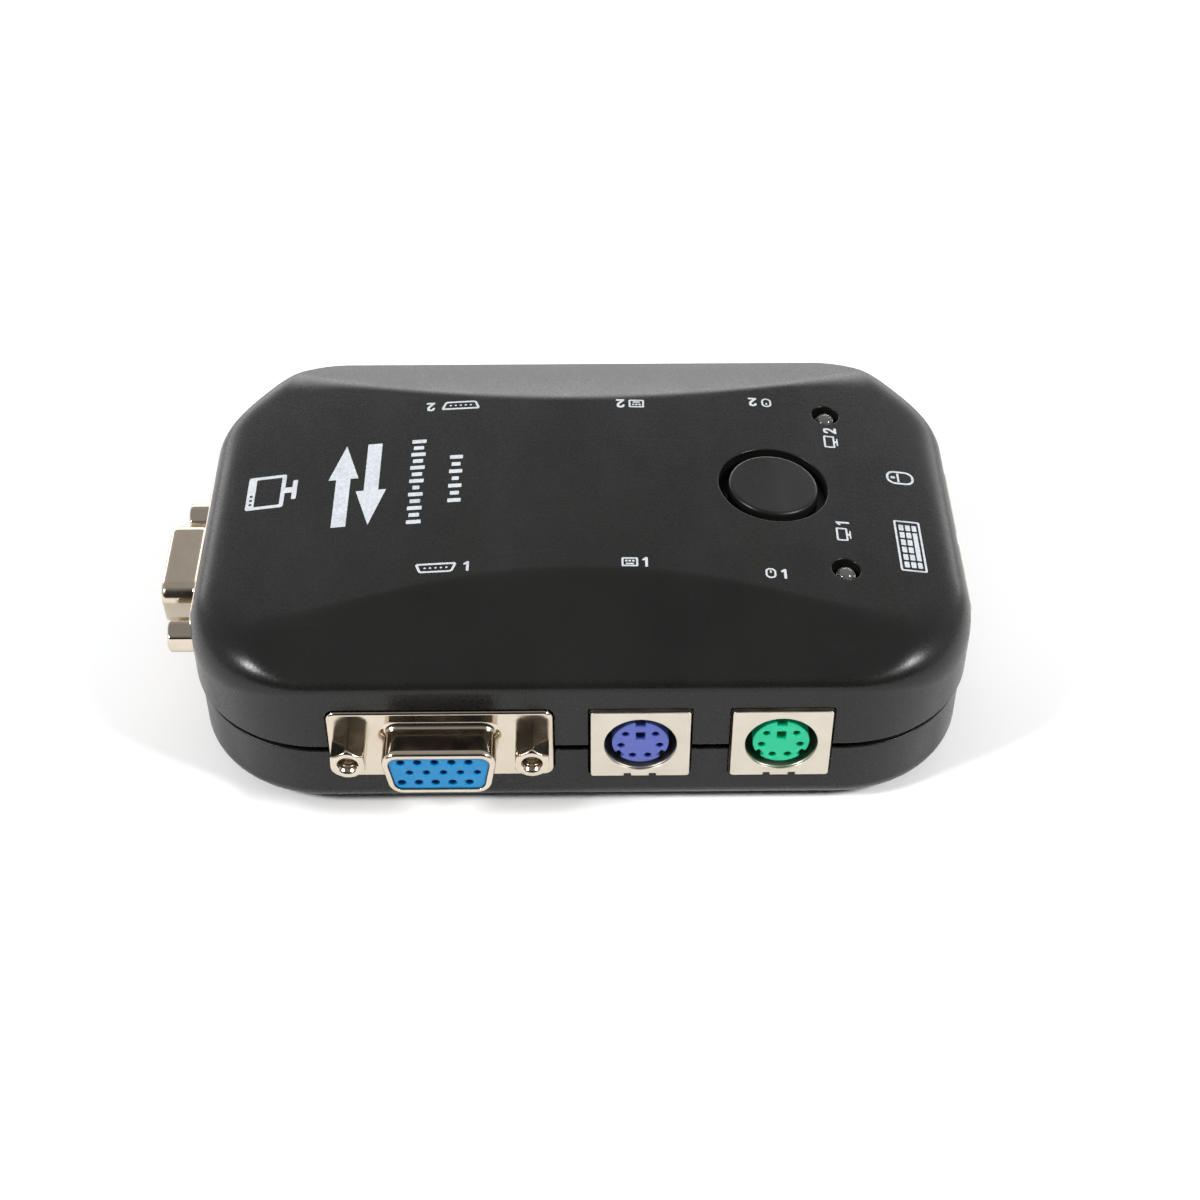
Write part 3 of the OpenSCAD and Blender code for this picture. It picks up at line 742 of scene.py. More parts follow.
def build_light(index):
    """A three-millimetre light with a domed top and a collar."""
    c, low, high = LIGHTS[index]
    z0, z1 = low[2], high[2]
    rows = [(0, z0), (1.9, z0), (1.9, z0), (1.9, z0 + 0.9), (1.8, z0 + 1.0), (1.5, z0 + 1.02), (1.5, z0 + 1.02)]
    rows += [(1.5, z0 + 2), (1.5, z1 - 1.5)] + arc(0, z1 - 1.5, 1.5, 6, 90, 12)
    return lathe(rows, 48).moved(shift(c[0], c[1]))


def build_light_inside(index):
    """The reflector cup and the wire post that show through the clear resin."""
    c, low, _ = LIGHTS[index]
    z = low[2] + 1.6
    cup = lathe([(0, z - 1.0), (0.55, z - 1.0), (0.62, z + 1.7), (0.62, z + 1.7), (0.55, z + 1.7), (0.12, z + 1.2)], 24)
    body = cup.moved(shift(c[0] - 0.35, c[1]))
    post = lathe([(0, z - 1.0), (0.22, z - 1.0), (0.22, z + 1.7), (0.22, z + 1.7), (0.16, z + 1.9), (0, z + 1.9)], 16)
    return body.join(post.moved(shift(c[0] + 0.75, c[1])))


# ---- sockets, drawn facing -Y ----
STAND = 0.45                   # how far a socket's plate stands out from the wall


def place(side, along, height):
    """Turns and moves a socket drawn around the origin to its place on a side of the case."""
    turn = Matrix.Rotation(math.radians(TURN[side]), 4, "Z")
    reach = (HALF_D if side in ("front", "back") else HALF_W) + STAND
    across = along if side in ("front", "right") else -along
    return (Matrix.Translation((CASE_X, 0, height)) @ turn @ Matrix.Translation((across, -reach, 0)))


D_W, D_H, D_R, D_SLOPE = 16.33, 7.9, 2.2, math.radians(10)
D_REACH = 5.4
MOUTH_LIP = 0.88
FLANGE = (30.81, 12.5, 0.8, 1.2)
JACKSCREW_X = 12.495           # from a video socket's middle to each jackscrew


def d_ring(inset, per_arc=14):
    """Points and outward directions around the D outline, clockwise as seen from the front.
    inset is a number, negative to stand outside."""
    top_z = D_H / 2 - D_R
    top_x = D_W / 2 - D_R * math.tan(D_SLOPE) - D_R / math.cos(D_SLOPE)
    low_x = D_W / 2 - (D_H - D_R) * math.tan(D_SLOPE) - D_R / math.cos(D_SLOPE)
    turns = [(top_x, top_z, 90, -10), (low_x, -top_z, -10, -90), (-low_x, -top_z, -90, -170), (-top_x, top_z, 190, 90)]
    pts, nor = [], []
    for x, z, a0, a1 in turns:
        for a in np.radians(np.linspace(a0, a1, per_arc)):
            nor.append((math.cos(a), math.sin(a)))
            pts.append((x + (D_R - inset) * math.cos(a), z + (D_R - inset) * math.sin(a)))
    # fill the straight sides
    out_p, out_n = [], []
    for k in range(len(pts)):
        a, b = np.array(pts[k]), np.array(pts[(k + 1) % len(pts)])
        m, n2 = np.array(nor[k]), np.array(nor[(k + 1) % len(pts)])
        steps = {per_arc - 1: 5, 2 * per_arc - 1: 10, 3 * per_arc - 1: 5, 4 * per_arc - 1: 14}.get(k, 1)
        for j in range(steps):
            out_p.append(a + (b - a) * j / steps)
            out_n.append(m + (n2 - m) * j / steps)
    return np.array(out_p), unit(np.array(out_n))


def swept(rows):
    """Rows of (inset, y, outward part of the normal, y part of the normal) around the D outline."""
    pts, nor = [], []
    for inset, y, no, ny in rows:
        p, n = d_ring(inset)
        pts.append(front(p, y))
        nor.append(front(n * no, ny))
    return np.array(pts), np.array(nor)


def build_video_shell():
    """Pressed shell: a flange with rolled edges, and a collar with a soft foot and a rounded mouth."""
    body = Body()
    w, h, t, r = FLANGE
    foot, edge = 0.95, 0.45
    outer = fine(box_loop(-w / 2 + edge, -h / 2 + edge, w / 2 - edge, h / 2 - edge, r - 0.25, 8), 0.9)
    inner, _ = d_ring(-foot)
    holes = [ring_of(s * JACKSCREW_X, 0, 1.75, 32) for s in (-1, 1)]
    extra = lattice((-15, 15.1, 0.9), (-6, 6.1, 0.9))
    loops = [outer, inner[::-1]] + holes
    pts, tri = triangulate(loops, clear_of(loops, extra, 0.4))
    # (x, z) drawn as seen from the front: the face looks along -Y
    body.add(front(pts, 0.0), facing([0, -1, 0], pts), tri)
    # rolled outer edge and the sheet's own thickness
    d = np.roll(outer, -1, 0) - np.roll(outer, 1, 0)
    out = unit(np.column_stack([d[:, 1], -d[:, 0]]))
    rows, nor = [], []
    for s, c in quarter(6):
        rows.append(front(outer + out * edge * s, edge * (1 - c)))
        nor.append(front(out * s, -c))
    rows.append(front(outer + out * edge, t))
    nor.append(front(out, 0))
    body.grid(np.array(rows), np.array(nor), closed=True)
    # back of the flange
    loops = [outer + out * edge, d_ring(0.1)[0][::-1]]
    pts, tri = triangulate(loops)
    body.add(front(pts, t), facing([0, 1, 0], pts), tri[:, ::-1])
    # foot fillet, collar, mouth and inside
    mouth_y, mouth_t, lip_r = 0.8, 0.5, 0.06
    profile = [(-foot * (1 - s), -foot * (1 - c), s, -c) for s, c in quarter(8)]
    profile += [(0, -2.2, 1, 0), (0, -3.4, 1, 0)]
    profile += [(mouth_t * (1 - c), -D_REACH + mouth_y * (1 - s), c / mouth_t, -(s / mouth_y)) for s, c in quarter(8)]
    profile += [(MOUTH_LIP - lip_r + lip_r * s, -D_REACH + lip_r * (1 - c), -s, -c) for s, c in quarter(4)]
    profile += [(MOUTH_LIP, -D_REACH + 0.3, -1, 0), (0.5, -D_REACH + 0.55, -1, 0), (0.5, t, -1, 0)]
    pts, nor = swept(profile)
    body.grid(pts, nor, closed=True)
    return body


def wells(loops, depth, rim, y, extra=()):
    """A face at depth y, seen from the front, whose holes have softened rims and go in by depth.
    loops[0] is the face's own edge, rounded by rim too and carried back by depth."""
    body = Body()
    pts, tri = triangulate(loops, extra)
    body.add(front(pts, y), facing([0, -1, 0], pts), tri)
    body.weld(0.002)
    rings = body.rims()
    p, n = body.p[0], body.n[0]
    for ring, out in rings:
        rows, nor = [p[ring]], [n[ring]]
        for s, c in quarter(4)[1:]:
            rows.append(p[ring] + out * rim * s - n[ring] * rim * (1 - c))
            nor.append(n[ring] * c + out * s)
        rows.append(p[ring] + out * rim - n[ring] * depth)
        nor.append(out)
        centre = rows[-1].mean(0)
        if ((centre - rows[-1]) * out).sum() > 0:
            rows += [rows[-1], centre + (rows[-1] - centre) * 0.02]
            nor += [n[ring], n[ring]]
        body.grid(np.array(rows), np.array(nor), closed=True)
    return body.weld(0.0005)


PIN_PITCH, ROW_PITCH = 2.29, 1.98


def video_pins():
    return [((k - 2) * PIN_PITCH + (PIN_PITCH / 2 if row == 1 else 0) - PIN_PITCH / 4, (1 - row) * ROW_PITCH)
            for row in range(3) for k in range(5)]


def build_video_insulator():
    face, _ = d_ring(MOUTH_LIP + 0.02 + 0.2)
    rim = 0.2
    holes = [ring_of(x, z, (0.58 if abs(z) > 0.1 else 0.5) + rim, 28) for x, z in video_pins()]
    return wells([face[::-1]] + holes, 2.4, rim, -D_REACH + 0.22)


def build_jackscrew(side):
    """A hexagonal jackscrew, chamfered, with a threaded hole."""
    flat, reach = 2.3, 3.8
    count = 72
    angle = np.linspace(0, 2 * math.pi, count, endpoint=False)
    ring = compass(count)
    hexagon = flat / np.cos(((angle + math.pi / 6) % (math.pi / 3)) - math.pi / 6)
    hexagon = np.minimum(hexagon, flat * 1.135)
    rows = []
    for y, cone in ((0.02, 9), (-reach + 0.55, 9), (-reach + 0.42, 2.62), (-reach + 0.26, 2.5), (-reach + 0.12, 2.34),
                    (-reach + 0.03, 2.15), (-reach, 1.95), (-reach, 1.66), (-reach + 0.14, 1.46)):
        rows.append((np.minimum(hexagon, cone), y))
    y = -reach + 0.3
    while y < -0.9:
        for part, r in ((0, 1.38), (0.2, 1.24), (0.32, 1.14), (0.42, 1.24)):
            rows.append((np.full(count, r), y + part))
        y += 0.635
    rows.append((np.full(count, 1.22), -0.6))
    rows.append((np.full(count, 0.02), -0.45))
    pts = np.array([np.column_stack([ring[:, 0] * r, np.full(count, yy), ring[:, 1] * r]) for r, yy in rows])
    body = Body()
    normals = np.zeros_like(pts)
    for k in range(len(pts)):
        along = pts[min(k + 1, len(pts) - 1)] - pts[max(k - 1, 0)]
        around = np.roll(pts[k], -1, 0) - np.roll(pts[k], 1, 0)
        normals[k] = unit(np.cross(around, along))
    body.grid(pts, normals, closed=True)
    return body.moved(Matrix.Translation((side * JACKSCREW_X, 0, 0)))


CORE_R, CAN_R = 3.9, 5.0
HOOD_Y = 12.8                  # back edge of a jack's hood, behind its plate
JACK_PINS = [(1.05, -2.6), (2.65, -0.6), (2.05, 1.6)]


def build_jack_shield():
    """Folded sheet: the front plate with its round opening, and the hood behind it."""
    edge = 0.3
    outer = fine(box_loop(-7 + edge, -6.48 + edge, 7 - edge, 6.5 - edge, 0.3, 4), 0.9)
    # two notches in the lower edge are cut as part of the outline
    low = -6.48 + edge
    start = [p for p in outer if not (p[1] < low + 0.02 and abs(p[0]) < 3.0)]
    cut = []
    for x in (-1.75, 1.75):
        cut += [(x - 0.6, low), (x - 0.6, low + 0.35), (x - 0.45, low + 0.5),
                (x + 0.45, low + 0.5), (x + 0.6, low + 0.35), (x + 0.6, low)]
    loop = []
    placed = False
    for k, p in enumerate(start):
        loop.append(tuple(p))
        q = start[(k + 1) % len(start)]
        if not placed and p[1] < low + 0.02 and q[1] < low + 0.02 and p[0] < 0 < q[0]:
            loop += cut
            placed = True
    loop = np.array(loop)
    hole = ring_of(0, 0, CAN_R + 0.1, 84)
    extra = lattice((-6.5, 6.6, 1.0), (-6, 6.1, 1.0))
    loops = [loop, hole]
    body = Body()
    pts, tri = triangulate(loops, clear_of(loops, extra, 0.35))
    body.add(front(pts, 0.0), facing([0, -1, 0], pts), tri)
    body.thicken(0.34, None, 0.12)
    # hood: the top and both sides, folded from the plate with a small bend
    section = [(-6.75, -6.4), (-6.75, 5.9)] + arc(-6.4, 5.9, 0.35, 180, 90, 4)[1:]
    section += arc(6.4, 5.9, 0.35, 90, 0, 4) + [(6.75, -6.4)]
    section = np.array(section)
    d = np.gradient(section, axis=0)
    side = unit(np.column_stack([-d[:, 1], d[:, 0]]))
    outer_p, inner_p = section + side * 0.24, section - side * 0.1
    n3 = front(side, 0)
    for pts2, sign in ((outer_p, 1), (inner_p, -1)):
        body.grid(np.array([front(pts2, 0.2), front(pts2, HOOD_Y)]), np.array([n3 * sign, n3 * sign]))
    back = facing([0, 1, 0], section)
    return body.grid(np.array([front(outer_p, HOOD_Y), front(inner_p, HOOD_Y)]), np.array([back, back]))


def build_jack_can():
    """Round inner can with a rolled mouth."""
    r, t = CAN_R, 0.3
    rows = [(r, -7.4), (r, -0.6)] + arc(r + 0.15, -0.5, 0.15, 180, 0, 6) + [(r + t, -7.4)]
    return lathe(rows[::-1], 84, axis="y")


def build_jack_core():
    """Moulding with six pin holes, a key hole and three notches around it."""
    rim = 0.14
    r = CORE_R - rim
    notches = [(90, 0.72, 0.75), (90 + 128, 0.62, 0.5), (90 - 128, 0.62, 0.5)]
    pts = []
    for a in np.arange(0, 360, 3.0):
        if not any(abs((a - at + 180) % 360 - 180) < math.degrees(math.asin((half + rim) / r)) + 1.0
                   for at, half, _ in notches):
            pts.append((a, (r * math.cos(math.radians(a)), r * math.sin(math.radians(a)))))
    for a0, half, deep in notches:
        half += rim
        c, s = math.cos(math.radians(a0)), math.sin(math.radians(a0))
        lip_r = math.sqrt(r * r - half * half)
        low = r - deep - rim
        for k, (u, v) in enumerate([(-half, lip_r), (-half, low + 0.12), (-half + 0.12, low), (0, low),
                                    (half - 0.12, low), (half, low + 0.12), (half, lip_r)]):
            # u runs along the rim, v outwards; angles grow against u
            x, z = c * v + s * u, s * v - c * u
            pts.append((a0 + (3 - k) * 1e-3, (x, z)))
    pts.sort(key=lambda q: q[0] % 360)
    face = np.array([q[1] for q in pts])
    key = box_loop(-0.7 - 0.08, 0.35, 0.7 + 0.08, 2.15, 0.15, 2)
    holes = [ring_of(s * x, z, 0.52 + rim, 24) for x, z in JACK_PINS for s in (-1, 1)]
    loops = [face, key] + holes
    extra = np.vstack([ring_of(0, 0, q, int(q * 8)) for q in (1.2, 2.1, 3.0)])
    body = wells(loops, 3.2, rim, 0.42, clear_of(loops, extra, 0.3))
    disc = lathe([(CAN_R + 0.05, -7.2), (CORE_R, -7.2)], 64, axis="y")
    return body.join(disc)


# ---- screws and feet ----
def build_case_screws():
    """Pan heads with a cross recess, seen from below in the recesses."""
    body = Body()
    z0 = SCREW_BOX[0][2]
    for x, y in SCREWS:
        cross = []
        w, l = 0.36, 1.55
        for k in range(4):
            a = math.pi / 2 * k
            for u, v in ((w, w), (l, w), (l + 0.12, 0), (l, -w)):
                cross.append((u * math.cos(a) + v * math.sin(a), u * math.sin(a) - v * math.cos(a)))
        # order by angle so that the ring is simple
        cross = np.array(sorted(cross, key=lambda q: math.atan2(q[1], q[0])))
        loop = ring_of(0, 0, 1.95, 48)
        pts, tri = triangulate([loop, cross])
        one = Body()
        one.add(np.column_stack([pts, np.full(len(pts), z0)]), facing(-UP, pts), tri[:, ::-1])
        deep = np.array([np.column_stack([cross * s, np.full(len(cross), z0 + d)])
                         for s, d in ((1, 0), (0.86, 1.0), (0.01, 1.35))])
        nor = np.zeros_like(deep)
        nor[..., :2] = -deep[..., :2]
        nor[..., 2] = -0.6
        one.grid(deep, nor, closed=True)
        head = lathe(arc(1.95, z0 + 0.8, 0.8, -90, 0, 6) + [(2.75, z0 + 2)], 48)
        one.join(head)
        body.join(one.moved(shift(x, y)))
    return body


def build_feet():
    body = Body()
    top_z = FEET_BOX[1][2]
    for x, y in FEET:
        rows = [(4.5, top_z), (4.5, 0.5)] + arc(4.1, 0.4, 0.4, 0, -90, 6)
        rows += arc(3.7, -0.1, 0.1, 90, 180, 2)[1:] + [(3.55, 0.12), (0, 0.12)]
        rows = [(r, max(z, 0.0)) for r, z in rows]
        body.join(lathe(rows[::-1], 64).moved(shift(x, y)))
    return body


# ---- printed marks ----
INK = 0.018                    # how high the print stands


def capsule(a, b, w, steps=6):
    """A stroke of width w from a to b with round ends, counter-clockwise."""
    a, b = np.array(a, float), np.array(b, float)
    t = math.degrees(math.atan2(*(b - a)[::-1])) if math.dist(a, b) > 1e-9 else 0
    return np.array(arc(b[0], b[1], w / 2, t - 90, t + 90, steps) + arc(a[0], a[1], w / 2, t + 90, t + 270, steps))


def strokes(points, w):
    return [capsule(a, b, w) for a, b in zip(points[:-1], points[1:])]


def rect(x0, y0, x1, y1, r=0.12):
    return box_loop(x0, y0, x1, y1, r, 3)


def frame_of(x0, y0, x1, y1, w, r=0.2):
    return [rect(x0, y0, x1, y1, r)], [rect(x0 + w, y0 + w, x1 - w, y1 - w, max(0.05, r - w / 2))]


def numeral(n, x, h=2.0, w=0.38):
    """A plain 1 or 2, its lower left corner at x, 0."""
    if n == 1:
        line = [(0.15, 0.74 * h), (0.55, h - w / 2), (0.55, w / 2)]
    else:
        line = [(w / 2, 0.72 * h), (0.3, 0.86 * h), (0.62, h - w / 2), (0.95, 0.86 * h), (1.0, 0.66 * h),
                (0.88, 0.5 * h), (w / 2, w / 2), (1.12, w / 2)]
    return strokes([(x + u, v) for u, v in line], w)


def video_mark(n):
    """Outline of a D socket with its pins, and the computer's number."""
    outer = np.array([(0.2, 1.9), (0.0, 1.6), (0.45, 0.25), (0.8, 0.0),
                      (4.9, 0.0), (5.25, 0.25), (5.7, 1.6), (5.5, 1.9)])
    inner = np.array([(0.5, 1.55), (0.42, 1.45), (0.75, 0.45), (0.95, 0.33),
                      (4.75, 0.33), (4.95, 0.45), (5.28, 1.45), (5.2, 1.55)])
    dots = [ring_of(1.35 + 0.75 * k, 0.94, 0.17, 10) for k in range(5)]
    return [outer], [inner], dots + numeral(n, 6.7), 7.9


def keyboard_mark(n):
    plus, minus = frame_of(0, 0.1, 2.3, 1.9, 0.28)
    keys = [rect(0.5 + 0.48 * k, 1.05, 0.84 + 0.48 * k, 1.4, 0.05) for k in range(3)]
    keys += [rect(0.6, 0.5, 1.7, 0.78, 0.05)]
    return plus, minus, keys + numeral(n, 2.9), 4.0


def mouse_mark(n):
    outer = box_loop(0, 0, 1.5, 2.0, 0.7, 6)
    inner = box_loop(0.27, 0.27, 1.23, 1.73, 0.46, 6)
    return [outer], [inner], [rect(0.63, 1.05, 0.87, 1.55, 0.08)] + numeral(n, 2.2), 3.4


def computer_mark(n):
    plus, minus = frame_of(0, 0.45, 2.7, 2.1, 0.28)
    foot = [rect(1.15, 0.18, 1.55, 0.46, 0.04), rect(0.55, 0.0, 2.15, 0.2, 0.04)]
    return plus, minus, foot + numeral(n, 3.3), 4.5


def bars(length, heights, w=0.8):
    """A row of short upright bars."""
    step = (length - w) / (len(heights) - 1)
    rects = [rect(k * step, 1.1 - h / 2, k * step + w, 1.1 + h / 2, 0.1) for k, h in enumerate(heights)]
    return [], [], rects, length


def screen_icon():
    plus, minus = frame_of(0, 1.75, 7.2, 7.3, 0.62, 0.35)
    minus = [rect(0.62, 2.37, 6.58, 6.1, 0.2)]
    dots = [rect(1.0 + 0.9 * k, 6.45, 1.45 + 0.9 * k, 6.85, 0.08) for k in range(3)]
    return plus, minus + dots, [rect(3.0, 0.72, 4.2, 1.77, 0.05), rect(1.5, 0.0, 5.7, 0.7, 0.2)], 7.2


def keyboard_icon():
    plus, minus = frame_of(0, 0, 10.6, 3.8, 0.3, 0.3)
    keys = [rect(0.75 + 1.55 * k, 2.45, 1.95 + 1.55 * k, 3.15, 0.1) for k in range(6)]
    keys += [rect(0.75 + 1.55 * k, 1.5, 1.95 + 1.55 * k, 2.2, 0.1) for k in range(6)]
    keys += [rect(0.75, 0.6, 1.95, 1.25, 0.1), rect(2.3, 0.6, 8.15, 1.25, 0.1), rect(8.5, 0.6, 9.7, 1.25, 0.1)]
    return plus, minus, keys, 10.6


def mouse_icon():
    outer, inner = box_loop(0, 0, 2.9, 4.1, 1.3, 8), box_loop(0.36, 0.36, 2.54, 3.74, 0.95, 8)
    return [outer], [inner], [rect(0.5, 2.2, 2.4, 2.5, 0.08), rect(1.2, 2.75, 1.7, 3.45, 0.2)], 2.9


def two_way_mark():
    """Two broad arrows side by side that point opposite ways."""
    a = np.array([(0, 5.25), (10.4, 5.25), (10.4, 4.1), (17.9, 6.3), (10.4, 8.5), (10.4, 7.35), (0, 7.35)])
    return [], [], [a, np.array([17.9, 8.4]) - a], 17.9


def add_mark(body, mark, centre, turn, height):
    """Adds a mark to the print, its middle at centre on the top of the case. turn is in degrees."""
    plus, minus, solid, width = mark
    c, s = math.cos(math.radians(turn)), math.sin(math.radians(turn))

    def put(loop):
        q = np.asarray(loop) - np.array([width / 2, height / 2])
        return np.column_stack([centre[0] + q[:, 0] * c - q[:, 1] * s, centre[1] + q[:, 0] * s + q[:, 1] * c])

    plus, minus, solid = [[put(x) for x in group] for group in (plus, minus, solid)]

    def test(mid):
        hit = np.zeros(len(mid), bool)
        for loop in plus:
            hit |= inside(loop, mid)
        for loop in minus:
            hit &= ~inside(loop, mid)
        for loop in solid:
            hit |= inside(loop, mid)
        return hit

    loops = [fine(loop, 0.9) for loop in plus + minus + solid]
    every = np.vstack(loops)
    low, high = every.min(0), every.max(0)
    grid = lattice((low[0], high[0], 0.9), (low[1], high[1], 0.9))
    pts, tri = triangulate(loops, grid, test)
    used = np.unique(tri)
    index = np.zeros(len(pts), int)
    index[used] = np.arange(len(used))
    pts, tri = pts[used], index[tri]
    n = top_normal(pts[:, 0], pts[:, 1])
    sheet = Body()
    base = lift(pts, top(pts[:, 0], pts[:, 1]))
    sheet.add(base + n * INK, n, tri)
    sheet.weld(0.001)
    p, n, faces = sheet.p[0], sheet.n[0], list(sheet.f)
    count = len(p)
    sheet.add(p - n * INK * 2, -n, [tuple(i for i in reversed(f)) for f in faces])
    seen = {(a, b) for f in faces for a, b in zip(f, f[1:] + f[:1])}
    sheet.f += [(b, a, a + count, b + count) for a, b in seen if (b, a) not in seen]
    body.join(sheet)


LONG_BARS = [2.1, 1.5, 2.1, 1.5, 2.1, 1.0, 2.1, 1.5, 2.1, 1.5, 2.1, 1.5, 2.1]
SHORT_BARS = [1.9, 1.3, 1.9, 1.0, 1.9, 1.3, 1.9]


def build_print():
    """Every mark: its drawing, middle, turn in degrees and height."""
    marks = [(screen_icon(), (-43.6, 1.3), 90, 5.2), (two_way_mark(), (-32.2, 1.0), 90, 8.4),
             (bars(18.6, LONG_BARS), (-23.6, 0.9), 90, 2.2), (bars(10.4, SHORT_BARS), (-18.0, 1.0), 90, 2.2)]
    for n, turn, sign in ((1, 0, -1), (2, 180, 1)):
        marks += [(video_mark(n), (-18.9, sign * 17.8), turn, 2.0), (keyboard_mark(n), (7.6, sign * 17.5), turn, 2.0),
                  (mouse_mark(n), (27.1, sign * 18.9), turn, 2.0)]
    marks += [(computer_mark(1), (37.1, -8.9), 90, 2.1), (computer_mark(2), (37.1, 11.6), 90, 2.1),
              (keyboard_icon(), (46.5, -11.0), 90, 3.8), (mouse_icon(), (46.7, 3.85), 90, 4.1)]
    body = Body()
    for mark in marks:
        add_mark(body, *mark)
    return body


# ---- materials ----
def map_range(tree, value, low, high, to_low, to_high):
    """Spreads low..high of a value over to_low..to_high, and no further."""
    n = tree.nodes.new("ShaderNodeMapRange")
    for key, v in zip(("From Min", "From Max", "To Min", "To Max"), (low, high, to_low, to_high)):
        n.inputs[key].default_value = v
    tree.links.new(value, n.inputs["Value"])
    return n.outputs["Result"]


class Graph:
    """Short calls for building one material's nodes."""

    def __init__(self, name):
        self.material = bpy.data.materials.new(name)
        self.material.use_nodes = True
        self.nodes, self.links = self.material.node_tree.nodes, self.material.node_tree.links
        self.shader = self.nodes["Principled BSDF"]
        self.place = self.nodes.new("ShaderNodeTexCoord").outputs["Object"]

    def put(self, **values):
        for key, value in values.items():
            name = key.replace("_", " ")
            self.shader.inputs[name].default_value = value
        return self

    def scaled(self, x, y, z):
        m = self.nodes.new("ShaderNodeMapping")
        m.inputs["Scale"].default_value = (x, y, z)
        self.links.new(self.place, m.inputs["Vector"])
        return m.outputs["Vector"]

    def noise(self, scale, detail=3, rough=0.5, vector=None):
        n = self.nodes.new("ShaderNodeTexNoise")
        n.inputs["Scale"].default_value = scale
        n.inputs["Detail"].default_value = detail
        n.inputs["Roughness"].default_value = rough
        self.links.new(vector or self.place, n.inputs["Vector"])
        return n.outputs["Fac"]

    def cells(self, scale):
        n = self.nodes.new("ShaderNodeTexVoronoi")
        n.inputs["Scale"].default_value = scale
        self.links.new(self.place, n.inputs["Vector"])
        return n.outputs["Distance"]

    def spread(self, value, *limits):
        return map_range(self.material.node_tree, value, *limits)

    def math(self, how, a, b):
        n = self.nodes.new("ShaderNodeMath")
        n.operation = how
        for k, v in enumerate((a, b)):
            if hasattr(v, "default_value"):
                self.links.new(v, n.inputs[k])
            else:
                n.inputs[k].default_value = v
        return n.outputs["Value"]

    def blend(self, fac, a, b):
        n = self.nodes.new("ShaderNodeMix")
        n.data_type = "RGBA"
        self.links.new(fac, n.inputs["Factor"])
        for key, v in ((6, a), (7, b)):
            if hasattr(v, "default_value"):
                self.links.new(v, n.inputs[key])
            else:
                n.inputs[key].default_value = (*v, 1)
        return n.outputs[2]

    def bump(self, height, distance, strength=1.0, below=None):
        n = self.nodes.new("ShaderNodeBump")
        n.inputs["Distance"].default_value = distance
        n.inputs["Strength"].default_value = strength
        self.links.new(height, n.inputs["Height"])
        if below:
            self.links.new(below, n.inputs["Normal"])
        return n.outputs["Normal"]

    def wire(self, output, name):
        self.links.new(output, self.shader.inputs[name])
        return self


def moulded(name, dark, light, rough, grain=2600, relief=0.000012, smudge=0.08, specular=0.26):
    """Moulded plastic with a fine spark-eroded texture, faint handling marks and a little dust."""
    g = Graph(name)
    broad = g.noise(60, 2)
    tone = g.blend(g.spread(broad, 0.35, 0.65, 0, 1), dark, light)
    specks = g.spread(g.cells(900), 0.0, 0.06, 1, 0)
    rare = g.spread(g.noise(160, 1), 0.62, 0.72, 0, 0.35)
    dusty = g.math("MULTIPLY", specks, rare)
    g.wire(g.blend(dusty, tone, tuple(min(1, c * 2 + 0.03) for c in light)), "Base Color")
    fine_grain = g.noise(grain, 4, 0.6)
    marks = g.noise(1.0, 4, 0.6, g.scaled(90, 35, 60))
    scratch = g.spread(g.noise(1.0, 2, 0.4, g.scaled(40, 2600, 400)), 0.69, 0.75, 0, 0.06)
    value = g.math("ADD", g.spread(fine_grain, 0.3, 0.7, rough - 0.05, rough + 0.05),
                   g.spread(marks, 0.35, 0.7, -smudge, smudge))
    g.wire(g.math("ADD", value, scratch), "Roughness")
    first = g.bump(fine_grain, relief)
    g.wire(g.bump(g.noise(45, 2), 0.00006, 0.35, first), "Normal")
    g.put(Specular_IOR_Level=specular)
    return g.material


def plated(name, base, dull, rough, spread=0.06, brushed=None, relief=0.000004):
    """Nickel plate: slight cloudiness, fine pits and rub marks."""
    g = Graph(name)
    g.put(Metallic=1.0)
    cloud = g.noise(220, 4, 0.6)
    pits = g.spread(g.cells(2600), 0.0, 0.12, 1, 0)
    sparse = g.spread(g.noise(700, 1), 0.58, 0.66, 0, 0.6)
    spots = g.math("MULTIPLY", pits, sparse)
    g.wire(g.blend(g.math("ADD", g.spread(cloud, 0.35, 0.7, 0, 0.55), spots), base, dull), "Base Color")
    lines = g.noise(1.0, 3, 0.5, g.scaled(*(brushed or (400, 400, 400))))
    value = g.math("ADD", g.spread(cloud, 0.3, 0.7, rough, rough + spread),
                   g.spread(lines, 0.3, 0.7, -spread / 2, spread / 2))
    g.wire(g.math("ADD", value, g.math("MULTIPLY", spots, 0.2)), "Roughness")
    g.wire(g.bump(lines, relief), "Normal")
    return g.material


def coloured(name, base, deep, rough):
    """Glossy coloured moulding, a touch translucent, with faint flow marks."""
    g = Graph(name)
    flow = g.noise(1.0, 3, 0.5, g.scaled(300, 300, 900))
    g.wire(g.blend(g.spread(flow, 0.3, 0.75, 0, 0.5), base, deep), "Base Color")
    fine_grain = g.noise(3200, 3, 0.6)
    g.wire(g.spread(fine_grain, 0.3, 0.7, rough - 0.06, rough + 0.08), "Roughness")
    g.wire(g.bump(fine_grain, 0.000006), "Normal")
    g.put(Subsurface_Weight=0.12, Subsurface_Scale=0.0006, Specular_IOR_Level=0.35)
    return g.material


def clear_resin(name):
    g = Graph(name)
    g.put(Transmission_Weight=0.92, IOR=1.5)
    g.wire(g.blend(g.noise(500, 2), (0.88, 0.86, 0.82), (0.80, 0.79, 0.76)), "Base Color")
    g.wire(g.spread(g.noise(1500, 2), 0.3, 0.7, 0.05, 0.16), "Roughness")
    return g.material


